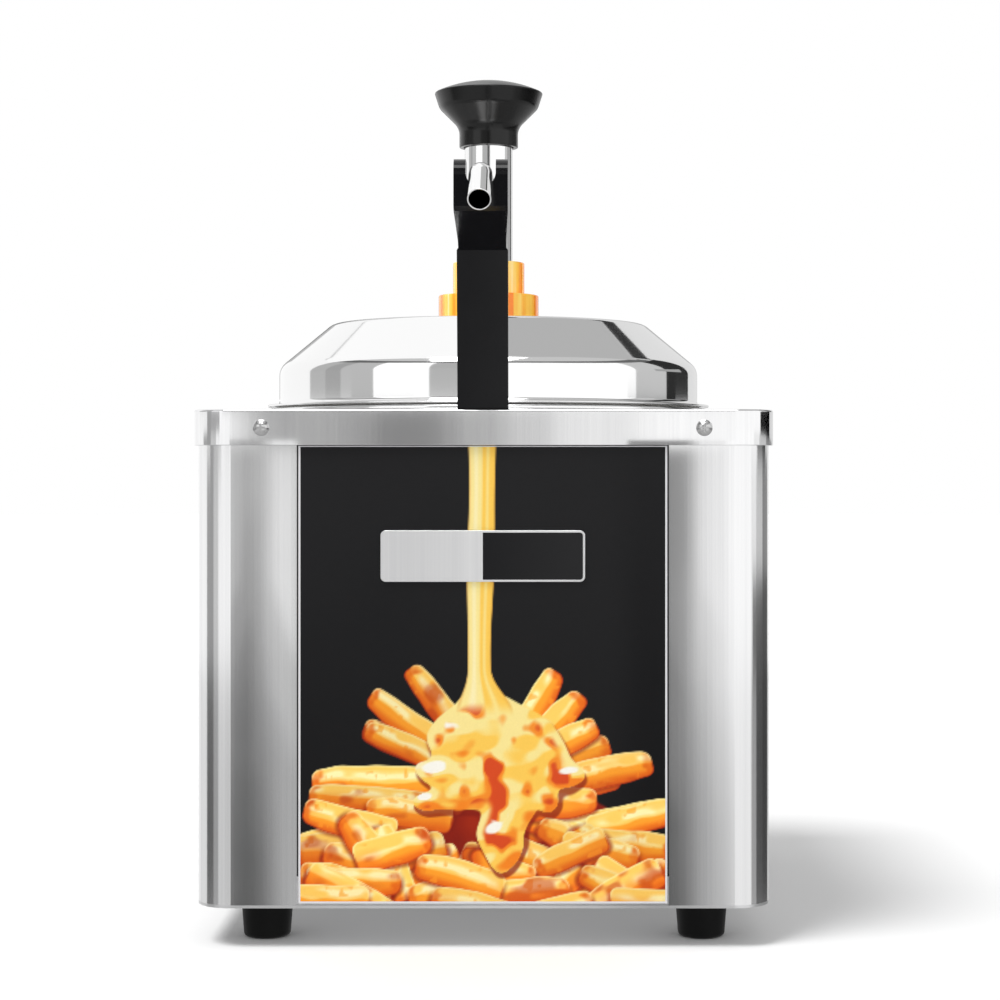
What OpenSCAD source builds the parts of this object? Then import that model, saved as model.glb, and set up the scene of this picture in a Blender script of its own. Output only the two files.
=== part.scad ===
// Countertop cheese dispenser: a square heated cabinet with a water bath, a lift-out pot,
// a domed lid that carries the pump, and an arm on the deck that steadies the spout.
// The origin is on the table under the pump's axis. X is to the right, Y to the back, Z up.

/* [Cabinet] */
// Width and depth of the sheet-metal wrap
cabinet_w = 280; // [274:1:286]
// Radius of the four upright corners
cabinet_r = 18; // [14:1:20]
// Height of the wrap's lower edge above the table
cabinet_z = 21; // [20:0.5:24]
// Height of the deck above the table
deck_z = 261; // [258:1:264]
// Height of the deck's turned-down skirt
skirt_h = 17.4; // [15:0.2:19]
// How far the skirt stands proud of the wrap
skirt_proud = 2.2; // [2.2:0.2:3]
// Thickness of the stainless sheet
sheet = 1; // [0.8:0.1:1.2]
// Distance of the deck screws from the centre line
deck_screw_x = 107; // [96:1:115]

/* [Front] */
// Width of the window in the front of the wrap
window_w = 180; // [160:1:190]
// Width of the printed panel in that window
panel_w = 178.4; // [150:0.2:178.8]
// Width of the badge plate
badge_w = 99; // [80:1:110]
// Height of the badge plate
badge_h = 25; // [18:1:30]
// Height of the badge's centre above the table
badge_z = 190; // [120:1:210]

/* [Feet] */
// Diameter of a foot at the cabinet
foot_top_d = 26; // [22:1:30]
// Diameter of a foot at the table
foot_bottom_d = 23; // [20:1:28]
// Distance of each foot's centre from the cabinet's centre, in X and in Y
foot_x = 108; // [100:1:112]

/* [Pot and lid] */
// Outer radius of the lift-out pot
pot_r = 104; // [100:1:104]
// Height of the pot's underside above the table
pot_z = 100; // [96:1:101]
// Radius of the lid's flat flange
lid_flange_r = 120; // [119:0.5:121]
// Radius of the lid's upright wall
lid_wall_r = 113.7; // [112:0.1:115]
// Height at which the lid's shoulder starts to turn in
lid_shoulder_z = 282; // [278:0.5:284]
// Slope of the lid's cone above the horizontal
lid_slope = 39.8; // [36:0.2:40]
// Radius of the lid's flat crown
lid_crown_r = 82; // [78:1:84]

/* [Pump] */
// Radius of the pump column
column_r = 13; // [12.6:0.1:13.2]
// Height of the spout's axis at the column
spout_z = 378; // [374:1:380]
// Outer radius of the spout
spout_r = 5.5; // [5:0.1:5.8]
// Wall thickness of the spout
spout_wall = 0.8; // [0.6:0.1:1]
// Fall of the spout's long run, in degrees
spout_fall = 2.8; // [2:0.1:4]
// Angle of the spout's mouth below the horizontal
mouth_fall = 33; // [25:1:40]
// Distance of the spout's bend in front of the column's axis
spout_reach = 188; // [184:1:192]
// Length of the mouth from the bend's corner to its tip
mouth_l = 27.2; // [22:0.2:30]
// Stroke of the plunger
stroke = 20; // [14:1:20]
// Radius of the knob's rim
knob_r = 29.4; // [27:0.2:32]

/* [Spout arm] */
// Width of the arm's upright bar
arm_w = 24.6; // [22:0.2:26]
// Width of the fork at the top
fork_w = 25.2; // [24:0.2:28]
// Width of the fork's slot
slot_w = 14; // [13.6:0.2:15]
// Front face of the fork in front of the pump axis
fork_front = 186; // [184:1:187]

/* [Hidden] */

// Curve quality, and the gap that keeps separate bodies apart
fine = 96;
coarse = 32;
gap = 0.3;
// Hair of room around a rod that is pressed in, and around a part that only slips in
press = 0.02;
slip = 0.05;

// Cabinet
half_w = cabinet_w / 2;
skirt_w = cabinet_w + 2 * skirt_proud;
skirt_r = cabinet_r + skirt_proud;
skirt_z = deck_z - skirt_h;
deck_t = 1.2;
deck_under = deck_z - deck_t;
deck_hole_r = pot_r + 2;
tray_t = 1.4;
tray_z = cabinet_z - tray_t;
tray_wall_h = 14;
wrap_top = deck_under - 1.5;
panel_z = tray_z + 2.4;
panel_top = skirt_z - gap;
panel_t = sheet;
backing_t = 1;
backing_lap = 10;
badge_r = 2.6;
badge_t = 1.2;

// Fasteners, as diameters and heights of the usual metric sizes
m4_head_d = 8;
m4_head_h = 2.6;
m4_r = 2;
m4_hole_r = 2.15;
m4_nut_d = 8.08;
m4_nut_h = 3.2;
m3_r = 1.5;
m3_head_d = 5.6;
m3_head_h = 2;
deck_screw_z = deck_z - skirt_h / 2 - 0.3;
deck_screw_l = 9;
arm_screw_x = 6.5;
earth_x = -110;
earth_y = 60;

// Feet
foot_h = tray_z;
foot_edge = 2;
foot_bore_r = 2.7;
foot_sink_r = 7;
foot_sink_h = 9;

// Water bath
well_r = pot_r + 8;
well_t = 1;
well_z = 75;
well_flange_r = 128;
well_flange_t = 1;
gasket_t = 0.8;
well_top = deck_under - gasket_t;
stud_r = 123.5;
stud_l = 12;
element_r = 78;
element_tube_r = 4;
element_z = well_z - element_tube_r - 0.2;
element_end_l = 22;

// Pot and lid
pot_t = 1;
pot_flange_z = deck_z + gap;
pot_flange_r = 117.4;
pot_flange_t = 1.2;
bead_r = 1.5;
lid_t = 1.2;
lid_flange_z = 266.2;
root_r = 2;
shoulder_r = 9;
crown_edge_r = 8;
crown_rise = 1.6;
crown_flat_r = 32;
lid_hole_r = column_r + 0.4;
cone_normal = 90 - lid_slope;
shoulder_c = [lid_wall_r - shoulder_r, lid_shoulder_z];
cone_foot = shoulder_c + shoulder_r * [cos(cone_normal), sin(cone_normal)];
crown_start_r = lid_crown_r + crown_edge_r * cos(cone_normal);
crown_start_z = cone_foot[1] + (cone_foot[0] - crown_start_r) * tan(lid_slope);
crown_c = [lid_crown_r, crown_start_z - crown_edge_r * sin(cone_normal)];
crown_z = crown_c[1] + crown_edge_r;
lid_top = crown_z + crown_rise;

// Pump, from the bottom up
cylinder_r = 20;
cylinder_t = 1.5;
cylinder_z = pot_z + 4;
cylinder_top = 180;
column_t = 1.5;
column_z = cylinder_top - 6;
column_top = 410;
seat_h = 6;
seat_hole_r = 6.5;
ball_r = 8;
ball_lift = 3;
seat_top = cylinder_z + seat_h;
ball_z = seat_top + sqrt(ball_r * ball_r - seat_hole_r * seat_hole_r) + gap;
cage_r = 11.5;
cage_top = ball_z + ball_r + ball_lift + gap + 1.5;
piston_h = 6;
piston_z = 160;
piston_gap = 0.3;
ring_gap = 0.05;
groove_z = 2;
groove_h = 2;
groove_depth = 2;
spring_wire_r = 1;
spring_r = 15.5;
spring_turns = 6;
rod_r = 4;
rod_z = piston_z - 8;
rod_top = 440.5;
rod_fit = 0.08;
cap_h = 1;
lock_nut_r = 27.3;
lock_nut_h = 14.6;
bush_r = 19.5;
bush_h = 17.9;

// Knob
knob_z = 407.4;
knob_neck_r = 16;
knob_cup_r = column_r + 0.6;
knob_rim_z = 436.6;
knob_top = 443.6;
insert_r = 8;
insert_h = 4;
knob_stop = 0.4;
knob_cup_z = column_top + cap_h + stroke + knob_stop + insert_h;

// Spout and arm
bend_r = 20;
bend_turn = mouth_fall - spout_fall;
bend_tangent = bend_r * tan(bend_turn / 2);
run_l = spout_reach / cos(spout_fall) - bend_tangent;
arm_foot_front = 139;
arm_foot_back = 125;
arm_foot_y = -(arm_foot_front + arm_foot_back) / 2;
arm_pad_t = 0.8;
arm_z = deck_z + arm_pad_t;
shoulder_y = 150;
shoulder_z = 337;
fork_z = 352;
fork_depth = 21;
ear_z = 376.6;
ear_r = 8;
slot_floor = 362.8;

// Rear controls, as seen from behind: positions of their centres
rear_y = half_w;
plate_w = 150;
plate_h = 62;
plate_t = 1.2;
plate_z = 92;
dial_x = 38;
switch_x = -20;
lamp_x = -52;
dial_r = 19;
dial_h = 14;
shaft_r = 3;
shaft_fit = 0.06;
switch_w = 21;
switch_h = 30;
switch_depth = 22;
rocker_w = 17;
rocker_h = 25;
rocker_tilt = 12;
rocker_depth = 3;
pivot_r = 1.5;
pivot_fit = 0.06;
lamp_r = 5;
inlet_x = 30;
inlet_z = 44;
inlet_flange_w = 50;
inlet_flange_h = 23;
inlet_flange_t = 2.4;
inlet_body_w = 27;
inlet_body_h = 19.6;
inlet_depth = 22;
socket_w = 24;
socket_h = 16.4;
socket_depth = 18;
inlet_screw_x = 20;
pin_places = [[-7, 1.5], [0, -2.5], [7, 1.5]];
pin_w = 2;
pin_h = 4;
pin_l = 19;
pin_z = inlet_flange_t - socket_depth - 7;
screw_room = 0.1;

// ---------- helpers ----------

// A square with true round corners, centred
module rounded_square(w, d, r) {
  square([w - 2 * r, d], center = true);
  square([w, d - 2 * r], center = true);
  for (x = [-1, 1], y = [-1, 1]) {
    translate([x * (w / 2 - r), y * (d / 2 - r)]) circle(r, $fn = fine);
  }
}

module rounded_slab(w, d, r, h) {
  linear_extrude(h) rounded_square(w, d, r);
}

module rounded_wrap(w, r, t, h) {
  difference() {
    rounded_slab(w, w, r, h);
    translate([0, 0, -1]) rounded_slab(w - 2 * t, w - 2 * t, r - t, h + 2);
  }
}

module rod(r, h, quality = fine) {
  cylinder(h = h, r = r, $fn = quality);
}

module ring(r_out, r_in, h) {
  difference() {
    rod(r_out, h);
    translate([0, 0, -1]) rod(r_in, h + 2);
  }
}

// Copies the children to the four signs of (x, y)
module at_corners(x, y) {
  for (i = [-1, 1], j = [-1, 1]) translate([i * x, j * y, 0]) children();
}

module hex_nut(across, h, r) {
  difference() {
    cylinder(h = h, d = across, $fn = 6);
    translate([0, 0, -1]) rod(r, h + 2, coarse);
  }
}

// A pan-head screw that points down from z = 0, with a cross recess
module pan_screw(r, head_d, head_h, length) {
  head_sphere = (head_d * head_d / 4 + head_h * head_h) / (2 * head_h);
  difference() {
    union() {
      translate([0, 0, -length]) rod(r, length + 0.2, coarse);
      intersection() {
        rod(head_d / 2, head_h, coarse);
        translate([0, 0, head_h - head_sphere]) sphere(head_sphere, $fn = 64);
      }
    }
    for (a = [0, 90]) {
      rotate(a) translate([-head_d * 0.28, -head_d * 0.06, head_h * 0.4]) {
        cube([head_d * 0.56, head_d * 0.12, head_h]);
      }
    }
  }
}

// Places a piece whose own Z points to the back on the rear wall at (x, z)
module on_rear(x, z, y = rear_y) {
  translate([x, y, z]) rotate([-90, 0, 0]) children();
}

function arc(c, r, from, to, steps) =
  [for (i = [0:steps]) let (a = from + (to - from) * i / steps) c + r * [cos(a), sin(a)]];

function unit(v) = v / norm(v);

// A round tube of radius r with eight sides, swept along the points of path
sides = 8;
lean = [0.31, 0.52, 0.79];
function heading(path, i) = unit(path[min(i + 1, len(path) - 1)] - path[max(i - 1, 0)]);
function tube_ring(path, i, r) =
  let (t = heading(path, i), u = unit(cross(t, lean)), v = cross(t, u))
  [for (k = [0:sides - 1]) path[i] + r * (cos(k * 360 / sides) * u + sin(k * 360 / sides) * v)];
module tube_along(path, r) {
  last = (len(path) - 1) * sides;
  polyhedron(
    points = [for (i = [0:len(path) - 1]) each tube_ring(path, i, r)],
    faces = concat(
      [[for (k = [0:sides - 1]) k]],
      [for (i = [0:len(path) - 2], k = [0:sides - 1])
        [i * sides + k, (i + 1) * sides + k, i * sides + (k + 1) % sides]],
      [for (i = [0:len(path) - 2], k = [0:sides - 1])
        [(i + 1) * sides + k, (i + 1) * sides + (k + 1) % sides, i * sides + (k + 1) % sides]],
      [[for (k = [sides - 1:-1:0]) last + k]]
    )
  );
}

// ---------- cabinet ----------

module deck_screw_places() {
  for (x = [-1, 1], y = [-1, 1]) {
    translate([x * deck_screw_x, y * skirt_w / 2, deck_screw_z]) rotate([-90 * y, 0, 0]) children();
  }
}

module body_shell() {
  color("gainsboro") difference() {
    translate([0, 0, cabinet_z]) rounded_wrap(cabinet_w, cabinet_r, sheet, wrap_top - cabinet_z);
    translate([-window_w / 2, -half_w - 1, tray_z]) cube([window_w, sheet + 2, panel_top + 1 - tray_z]);
    deck_screw_places() translate([0, 0, -8]) rod(m4_hole_r, 9, coarse);
    translate([-plate_w / 2 + 8, half_w - sheet - 1, plate_z - plate_h / 2 + 8]) {
      cube([plate_w - 16, sheet + 2, plate_h - 16]);
    }
    translate([inlet_x - inlet_body_w / 2 - 0.4, half_w - sheet - 1, inlet_z - inlet_body_h / 2 - 0.4]) {
      cube([inlet_body_w + 0.8, sheet + 2, inlet_body_h + 0.8]);
    }
    for (x = [-1, 1]) {
      on_rear(inlet_x + x * inlet_screw_x, inlet_z, half_w - 3) rod(m3_r + screw_room, 4, coarse);
    }
  }
}

module top_deck() {
  skirt_t = 1.2;
  color("gainsboro") {
    difference() {
      translate([0, 0, skirt_z]) rounded_wrap(skirt_w, skirt_r, skirt_t, skirt_h);
      deck_screw_places() translate([0, 0, -3]) rod(m4_hole_r, 4, coarse);
    }
    difference() {
      translate([0, 0, deck_under]) rounded_slab(skirt_w - 1, skirt_w - 1, skirt_r - 0.5, deck_t);
      translate([0, 0, deck_under - 1]) rod(deck_hole_r, deck_t + 2);
      for (x = [-1, 1]) {
        translate([x * arm_screw_x, arm_foot_y, deck_under - 1]) {
          rod(m4_hole_r, deck_t + 2, coarse);
        }
      }
    }
    for (a = [45:90:315]) {
      rotate(a) translate([stud_r, 0, deck_under - stud_l]) rod(m4_r, stud_l + 0.2, coarse);
    }
  }
}

module bottom_tray() {
  vents = 7;
  vent_w = 4;
  vent_l = 60;
  vent_pitch = 12;
  wall_w = cabinet_w - 2 * sheet - 0.4;
  color("silver") difference() {
    union() {
      translate([0, 0, tray_z]) rounded_slab(cabinet_w, cabinet_w, cabinet_r, tray_t);
      translate([0, 0, cabinet_z - 0.1]) {
        rounded_wrap(wall_w, cabinet_r - sheet - 0.2, 1, tray_wall_h);
      }
    }
    for (i = [0:vents - 1]) {
      translate([(i - (vents - 1) / 2) * vent_pitch - vent_w / 2, -vent_l / 2, tray_z - 1]) {
        cube([vent_w, vent_l, tray_t + 2]);
      }
    }
    at_corners(foot_x, foot_x) translate([0, 0, tray_z - 1]) rod(foot_bore_r, tray_t + 2, coarse);
    translate([earth_x, earth_y, tray_z - 1]) rod(m4_hole_r, tray_t + 2, coarse);
    translate([inlet_x - inlet_body_w / 2 - 3, half_w - 8, cabinet_z + 0.2]) {
      cube([inlet_body_w + 6, 8, tray_wall_h + 2]);
    }
  }
}

module front_panel() {
  color([0.16, 0.16, 0.17]) {
    translate([-panel_w / 2, -half_w, panel_z]) cube([panel_w, panel_t, panel_top - panel_z]);
  }
}

module panel_backing() {
  w = window_w + 2 * backing_lap;
  color("silver") {
    translate([-w / 2, -half_w + sheet, cabinet_z + tray_wall_h + 1]) {
      cube([w, backing_t, panel_top + 1 - cabinet_z - tray_wall_h]);
    }
  }
}

module badge_plate() {
  color([0.75, 0.75, 0.77]) translate([0, -half_w, badge_z]) rotate([90, 0, 0]) {
    rounded_slab(badge_w, badge_h, badge_r, badge_t);
  }
}

module deck_screws() {
  color("silver") deck_screw_places() pan_screw(m4_r, m4_head_d, m4_head_h, deck_screw_l);
}

module deck_nuts() {
  color("silver") deck_screw_places() {
    translate([0, 0, -skirt_proud - sheet - m4_nut_h]) hex_nut(m4_nut_d, m4_nut_h, m4_r + slip);
  }
}

// ---------- feet ----------

module foot(x, y) {
  color([0.06, 0.06, 0.06]) translate([x * foot_x, y * foot_x, 0]) difference() {
    union() {
      cylinder(h = foot_edge, r1 = foot_bottom_d / 2 - foot_edge / 2, r2 = foot_bottom_d / 2, $fn = fine);
      translate([0, 0, foot_edge]) {
        cylinder(h = foot_h - foot_edge, r1 = foot_bottom_d / 2, r2 = foot_top_d / 2, $fn = fine);
      }
    }
    translate([0, 0, -1]) rod(foot_sink_r, foot_sink_h + 1);
    rod(foot_bore_r, foot_h + 1, coarse);
  }
}

module foot_screws() {
  color("silver") at_corners(foot_x, foot_x) {
    translate([0, 0, foot_sink_h]) rotate([180, 0, 0]) pan_screw(2.5, 10, 3.2, foot_h - foot_sink_h + 8);
    translate([0, 0, cabinet_z]) hex_nut(9.2, 4, 2.55);
  }
}

// ---------- water bath and heating ----------

module water_well() {
  color("silver") {
    translate([0, 0, well_z]) rod(well_r + well_t, well_t);
    translate([0, 0, well_z]) ring(well_r + well_t, well_r, well_top - well_z);
    translate([0, 0, well_top - well_flange_t]) difference() {
      ring(well_flange_r, well_r + 0.5, well_flange_t);
      for (a = [45:90:315]) rotate(a) translate([stud_r, 0, -1]) rod(m4_hole_r, 3, coarse);
    }
  }
}

module well_gasket() {
  color("dimgray") translate([0, 0, well_top]) difference() {
    ring(well_flange_r, well_r + 0.5, gasket_t);
    for (a = [45:90:315]) rotate(a) translate([stud_r, 0, -1]) rod(m4_hole_r, 3, coarse);
  }
}

module well_nuts() {
  color("silver") for (a = [45:90:315]) {
    rotate(a) translate([stud_r, 0, well_top - well_flange_t - m4_nut_h]) {
      hex_nut(m4_nut_d, m4_nut_h, m4_r + slip);
    }
  }
}

module heating_element() {
  open_angle = 24;
  color([0.45, 0.42, 0.4]) translate([0, 0, element_z]) {
    rotate(90 + open_angle / 2) rotate_extrude(angle = 360 - open_angle, $fn = fine) {
      translate([element_r, 0]) circle(element_tube_r, $fn = 24);
    }
    for (s = [-1, 1]) rotate(90 + s * open_angle / 2) translate([element_r, 0, 0]) {
      sphere(element_tube_r + 0.05, $fn = 24);
      translate([0, 0, -element_end_l]) rod(element_tube_r, element_end_l, 24);
    }
  }
}

module element_clamps() {
  bar = [24, 14, 1.5];
  bar_z = element_z - element_tube_r - bar[2] - 0.1;
  post_x = 8.5;
  color("silver") for (a = [210, 330, 150, 30]) {
    rotate(a) translate([element_r, 0, bar_z]) {
      translate([-bar[0] / 2, -bar[1] / 2, 0]) cube(bar);
      for (x = [-1, 1]) translate([x * post_x, 0, bar[2] - 0.1]) {
        rod(m4_r, well_z - bar_z - bar[2] + 0.1, coarse);
      }
    }
  }
}

// The jacket has a window at the back, which leaves room for the controls and their wires
module insulation_jacket() {
  jacket_t = 6.5;
  jacket_h = 160;
  inner = well_r + well_t + 0.5;
  window = [-40, 100, 55];
  color("wheat") difference() {
    translate([0, 0, well_z + 5]) ring(inner + jacket_t, inner, jacket_h);
    translate([window[0], 90, well_z]) cube([window[1], 40, window[2]]);
  }
}

module thermostat_body() {
  depth = 23;
  side = 34;
  color("beige") on_rear(dial_x, plate_z) difference() {
    union() {
      translate([-side / 2, -side / 2, -depth]) cube([side, side, depth - sheet - 1]);
      translate([0, 0, -sheet - 2]) rod(5, sheet + 2, coarse);
    }
    translate([0, 0, -20]) rod(shaft_r + shaft_fit, 30, coarse);
  }
}

module thermostat_bulb() {
  bulb_l = 60;
  z = well_z - 8;
  body_y = rear_y - 18;
  body_under = plate_z - 17.1;
  color("peru") {
    translate([-bulb_l / 2, 40, z]) rotate([0, 90, 0]) rod(3, bulb_l, 24);
    tube_along([
      [bulb_l / 2, 40, z], [40, 46, z - 4], [46, 70, z - 8], [44, 94, z - 4],
      [dial_x, 112, z - 3], [dial_x, body_y, z], [dial_x, body_y, body_under]
    ], 1.2);
  }
}

module thermal_cutout() {
  color("dimgray") translate([0, -20, well_z - 9]) {
    rod(9, 9, coarse);
    for (x = [-1, 1]) translate([x * 5 - 3, -0.4, -8]) cube([6, 0.8, 8.2]);
  }
}

module terminal_block() {
  color("ivory") translate([-60, 70, cabinet_z]) difference() {
    cube([44, 18, 14]);
    for (i = [0:3]) translate([5.5 + i * 11, 9, 6]) rod(2.6, 10, coarse);
  }
}

module internal_wiring() {
  wire_r = 1.4;
  block_in = cabinet_z + 10;
  pin_y = rear_y - inlet_depth - 1;
  switch_y = rear_y - switch_depth - 1;
  element_x = element_r * sin(12);
  color("firebrick") {
    tube_along([
      [inlet_x - 7, pin_y, inlet_z], [inlet_x - 7, 108, 44], [10, 98, 44], [-10, 88, 44],
      [-20, 80, 43], [-21.5, 79, 38], [-21.5, 79, block_in]
    ], wire_r);
    tube_along([
      [inlet_x + 7, pin_y, inlet_z], [inlet_x + 7, 108, 47], [24, 104, 50], [-10, 96, 50],
      [-30, 82, 48], [-32.5, 79, 42], [-32.5, 79, block_in]
    ], wire_r);
    tube_along([
      [switch_x, switch_y, plate_z - 2], [switch_x, switch_y, 80], [-26, 108, 65],
      [-38, 92, 56], [-43, 81, 48], [-43.5, 79, 40], [-43.5, 79, block_in]
    ], wire_r);
    tube_along([
      [-element_x, element_r - 2, element_z - element_end_l - 1], [-20, 70, 42], [-34, 66, 40],
      [-48, 68, 42], [-54, 76, 41], [-54.5, 79, 36], [-54.5, 79, block_in]
    ], wire_r);
  }
}

// ---------- rear controls ----------

// The three blades of the inlet, each grown by room on its sides
module inlet_blades(room) {
  for (p = pin_places) {
    translate([p[0] - pin_w / 2 - room, p[1] - pin_h / 2 - room, pin_z]) {
      cube([pin_w + 2 * room, pin_h + 2 * room, pin_l]);
    }
  }
}

module power_inlet() {
  color([0.08, 0.08, 0.08]) on_rear(inlet_x, inlet_z) difference() {
    union() {
      rounded_slab(inlet_flange_w, inlet_flange_h, 3, inlet_flange_t);
      translate([-inlet_body_w / 2, -inlet_body_h / 2, -inlet_depth]) {
        cube([inlet_body_w, inlet_body_h, inlet_depth + 0.1]);
      }
    }
    translate([-socket_w / 2, -socket_h / 2, inlet_flange_t - socket_depth]) {
      cube([socket_w, socket_h, socket_depth + 1]);
    }
    inlet_blades(press);
    for (x = [-1, 1]) {
      translate([x * inlet_screw_x, 0, -1]) rod(m3_r + screw_room, inlet_flange_t + 2, coarse);
    }
  }
}

module inlet_pins() {
  color("goldenrod") on_rear(inlet_x, inlet_z) inlet_blades(0);
}

module inlet_screws() {
  color("silver") for (x = [-1, 1]) {
    on_rear(inlet_x + x * inlet_screw_x, inlet_z, rear_y + inlet_flange_t) {
      pan_screw(m3_r, m3_head_d, m3_head_h, 9);
    }
  }
}

module control_plate() {
  color([0.1, 0.1, 0.11]) on_rear(0, plate_z) difference() {
    rounded_slab(plate_w, plate_h, 4, plate_t);
    translate([dial_x, 0, -1]) rod(5.2, plate_t + 2, coarse);
    translate([switch_x - switch_w / 2, -switch_h / 2, -1]) cube([switch_w, switch_h, plate_t + 2]);
    translate([lamp_x, 0, -1]) rod(lamp_r + 0.1, plate_t + 2, coarse);
  }
}

module switch_housing() {
  bezel = 2;
  color([0.05, 0.05, 0.05]) on_rear(switch_x, plate_z, rear_y + plate_t) difference() {
    union() {
      translate([-switch_w / 2 - bezel, -switch_h / 2 - bezel, 0]) {
        cube([switch_w + 2 * bezel, switch_h + 2 * bezel, 2]);
      }
      translate([-switch_w / 2 + 0.2, -switch_h / 2 + 0.2, -switch_depth]) {
        cube([switch_w - 0.4, switch_h - 0.4, switch_depth + 0.5]);
      }
    }
    translate([-rocker_w / 2 - 0.4, -rocker_h / 2 - 0.6, -12]) cube([rocker_w + 0.8, rocker_h + 1.2, 20]);
    translate([0, 0, -rocker_depth]) rocker_pivot(pivot_r + pivot_fit, 1.2);
  }
}

// The rocker's pivot pin, which stands out by past at each end
module rocker_pivot(r, past) {
  rotate([0, 90, 0]) translate([0, 0, -rocker_w / 2 - past]) rod(r, rocker_w + 2 * past, coarse);
}

// A rocker that stands tilted about a pivot across its middle
module power_rocker() {
  end = rocker_h / 2;
  pivot_y = rear_y + plate_t - rocker_depth;
  color("firebrick") on_rear(switch_x, plate_z, pivot_y) rotate([rocker_tilt, 0, 0]) {
    rotate([90, 0, 90]) translate([0, 0, -rocker_w / 2]) linear_extrude(rocker_w) {
      polygon([[1.4 - end, 6.6], [0, 4.2], [end - 1.4, 6.6], [end - 2, 1], [0, -6], [2 - end, 1]]);
    }
    rocker_pivot(pivot_r, 1);
  }
}

module indicator_lamp() {
  color("orangered") on_rear(lamp_x, plate_z, rear_y + plate_t) {
    translate([0, 0, -20]) rod(lamp_r, 20, coarse);
    rod(lamp_r + 1.5, 1.5, coarse);
    intersection() {
      rod(lamp_r, 5, coarse);
      sphere(lamp_r, $fn = 48);
    }
  }
}

module thermostat_dial() {
  flutes = 12;
  color([0.05, 0.05, 0.05]) on_rear(dial_x, plate_z, rear_y + plate_t + gap + 0.4) difference() {
    union() {
      rod(dial_r, 3);
      cylinder(h = dial_h, r1 = dial_r - 3, r2 = dial_r - 5, $fn = fine);
    }
    for (i = [0:flutes - 1]) {
      rotate((i + 0.5) * 360 / flutes) translate([dial_r - 2.2, 0, 3]) rod(1.8, dial_h, coarse);
    }
    translate([0, 0, -1]) rod(shaft_r + press, 9, coarse);
    translate([-0.6, dial_r - 11, dial_h - 0.6]) cube([1.2, 9, 2]);
  }
}

module thermostat_shaft() {
  color("silver") on_rear(dial_x, plate_z, rear_y - 16) rod(shaft_r, 16 + plate_t + gap + 0.4 + 8, coarse);
}

module earth_stud() {
  color("goldenrod") translate([earth_x, earth_y, tray_z - 2.4]) {
    cylinder(h = 2.4, d = 8, $fn = 6);
    rod(m4_r, 18, coarse);
    translate([0, 0, 2.4 + tray_t]) hex_nut(m4_nut_d, m4_nut_h, m4_r);
  }
}

// ---------- spout arm ----------

// The arm's outline from the side: first number is the distance in front of the pump axis
module arm_side() {
  polygon(concat(
    [
      [arm_foot_back, arm_z], [arm_foot_front, arm_z], [shoulder_y, shoulder_z],
      [fork_front - 3, fork_z], [fork_front, fork_z + 2]
    ],
    arc([fork_front - ear_r, ear_z - ear_r], ear_r, 0, 90, 8),
    [[fork_front - fork_depth, ear_z], [fork_front - fork_depth, fork_z + 11]],
    arc([fork_front - fork_depth - 12, fork_z - 4], 15, 60, 120, 6),
    arc([arm_foot_back + 24, shoulder_z - 4], 15, 160, 190, 3)
  ));
}

// The arm's outline from the front: a bar, a waist above its shoulder, and a wider fork
module arm_front() {
  waist = arm_w - 1.6;
  polygon([
    [arm_w / 2, arm_z - 1], [arm_w / 2, shoulder_z], [waist / 2, shoulder_z + 1],
    [waist / 2, shoulder_z + 4], [fork_w / 2, fork_z], [fork_w / 2, ear_z + 1],
    [-fork_w / 2, ear_z + 1], [-fork_w / 2, fork_z], [-waist / 2, shoulder_z + 4],
    [-waist / 2, shoulder_z + 1], [-arm_w / 2, shoulder_z], [-arm_w / 2, arm_z - 1]
  ]);
}

module spout_arm() {
  slot_r = slot_w / 2;
  color([0.07, 0.07, 0.08]) difference() {
    intersection() {
      rotate([90, 0, -90]) translate([0, 0, -fork_w]) linear_extrude(2 * fork_w) arm_side();
      rotate([90, 0, 0]) linear_extrude(fork_front + 10) arm_front();
    }
    translate([0, -fork_front - 1, slot_floor + slot_r]) rotate([-90, 0, 0]) rod(slot_r, fork_depth + 30);
    translate([-slot_r, -fork_front - 1, slot_floor + slot_r]) cube([slot_w, fork_depth + 30, 30]);
    for (x = [-1, 1]) {
      translate([x * arm_screw_x, arm_foot_y, arm_z - 1]) rod(m4_r + slip, 16, coarse);
    }
  }
}

module arm_screws() {
  color("silver") for (x = [-1, 1]) {
    translate([x * arm_screw_x, arm_foot_y, deck_under]) {
      rotate([180, 0, 0]) pan_screw(m4_r, m4_head_d, m4_head_h, 14);
    }
  }
}

module arm_gasket() {
  depth = arm_foot_front - arm_foot_back;
  color([0.05, 0.05, 0.05]) translate([-arm_w / 2, -arm_foot_front, deck_z]) difference() {
    cube([arm_w, depth, arm_pad_t]);
    for (x = [-1, 1]) translate([arm_w / 2 + x * arm_screw_x, depth / 2, -1]) rod(m4_hole_r, 3, coarse);
  }
}

// ---------- pot ----------

module food_pot() {
  floor_round = 10;
  flange_top = pot_flange_z + pot_flange_t;
  color("silver") {
    rotate_extrude($fn = fine) polygon(concat(
      [[0, pot_z]],
      arc([pot_r - floor_round, pot_z + floor_round], floor_round, 270, 360, 8),
      [[pot_r, pot_flange_z], [pot_flange_r, pot_flange_z]],
      [[pot_flange_r, flange_top], [pot_r - pot_t, flange_top]],
      arc([pot_r - floor_round, pot_z + floor_round], floor_round - pot_t, 360, 270, 8),
      [[0, pot_z + pot_t]]
    ));
    translate([0, 0, pot_flange_z + bead_r]) rotate_extrude($fn = fine) {
      translate([pot_flange_r, 0]) circle(bead_r, $fn = 24);
    }
  }
}

// ---------- lid ----------

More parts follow.
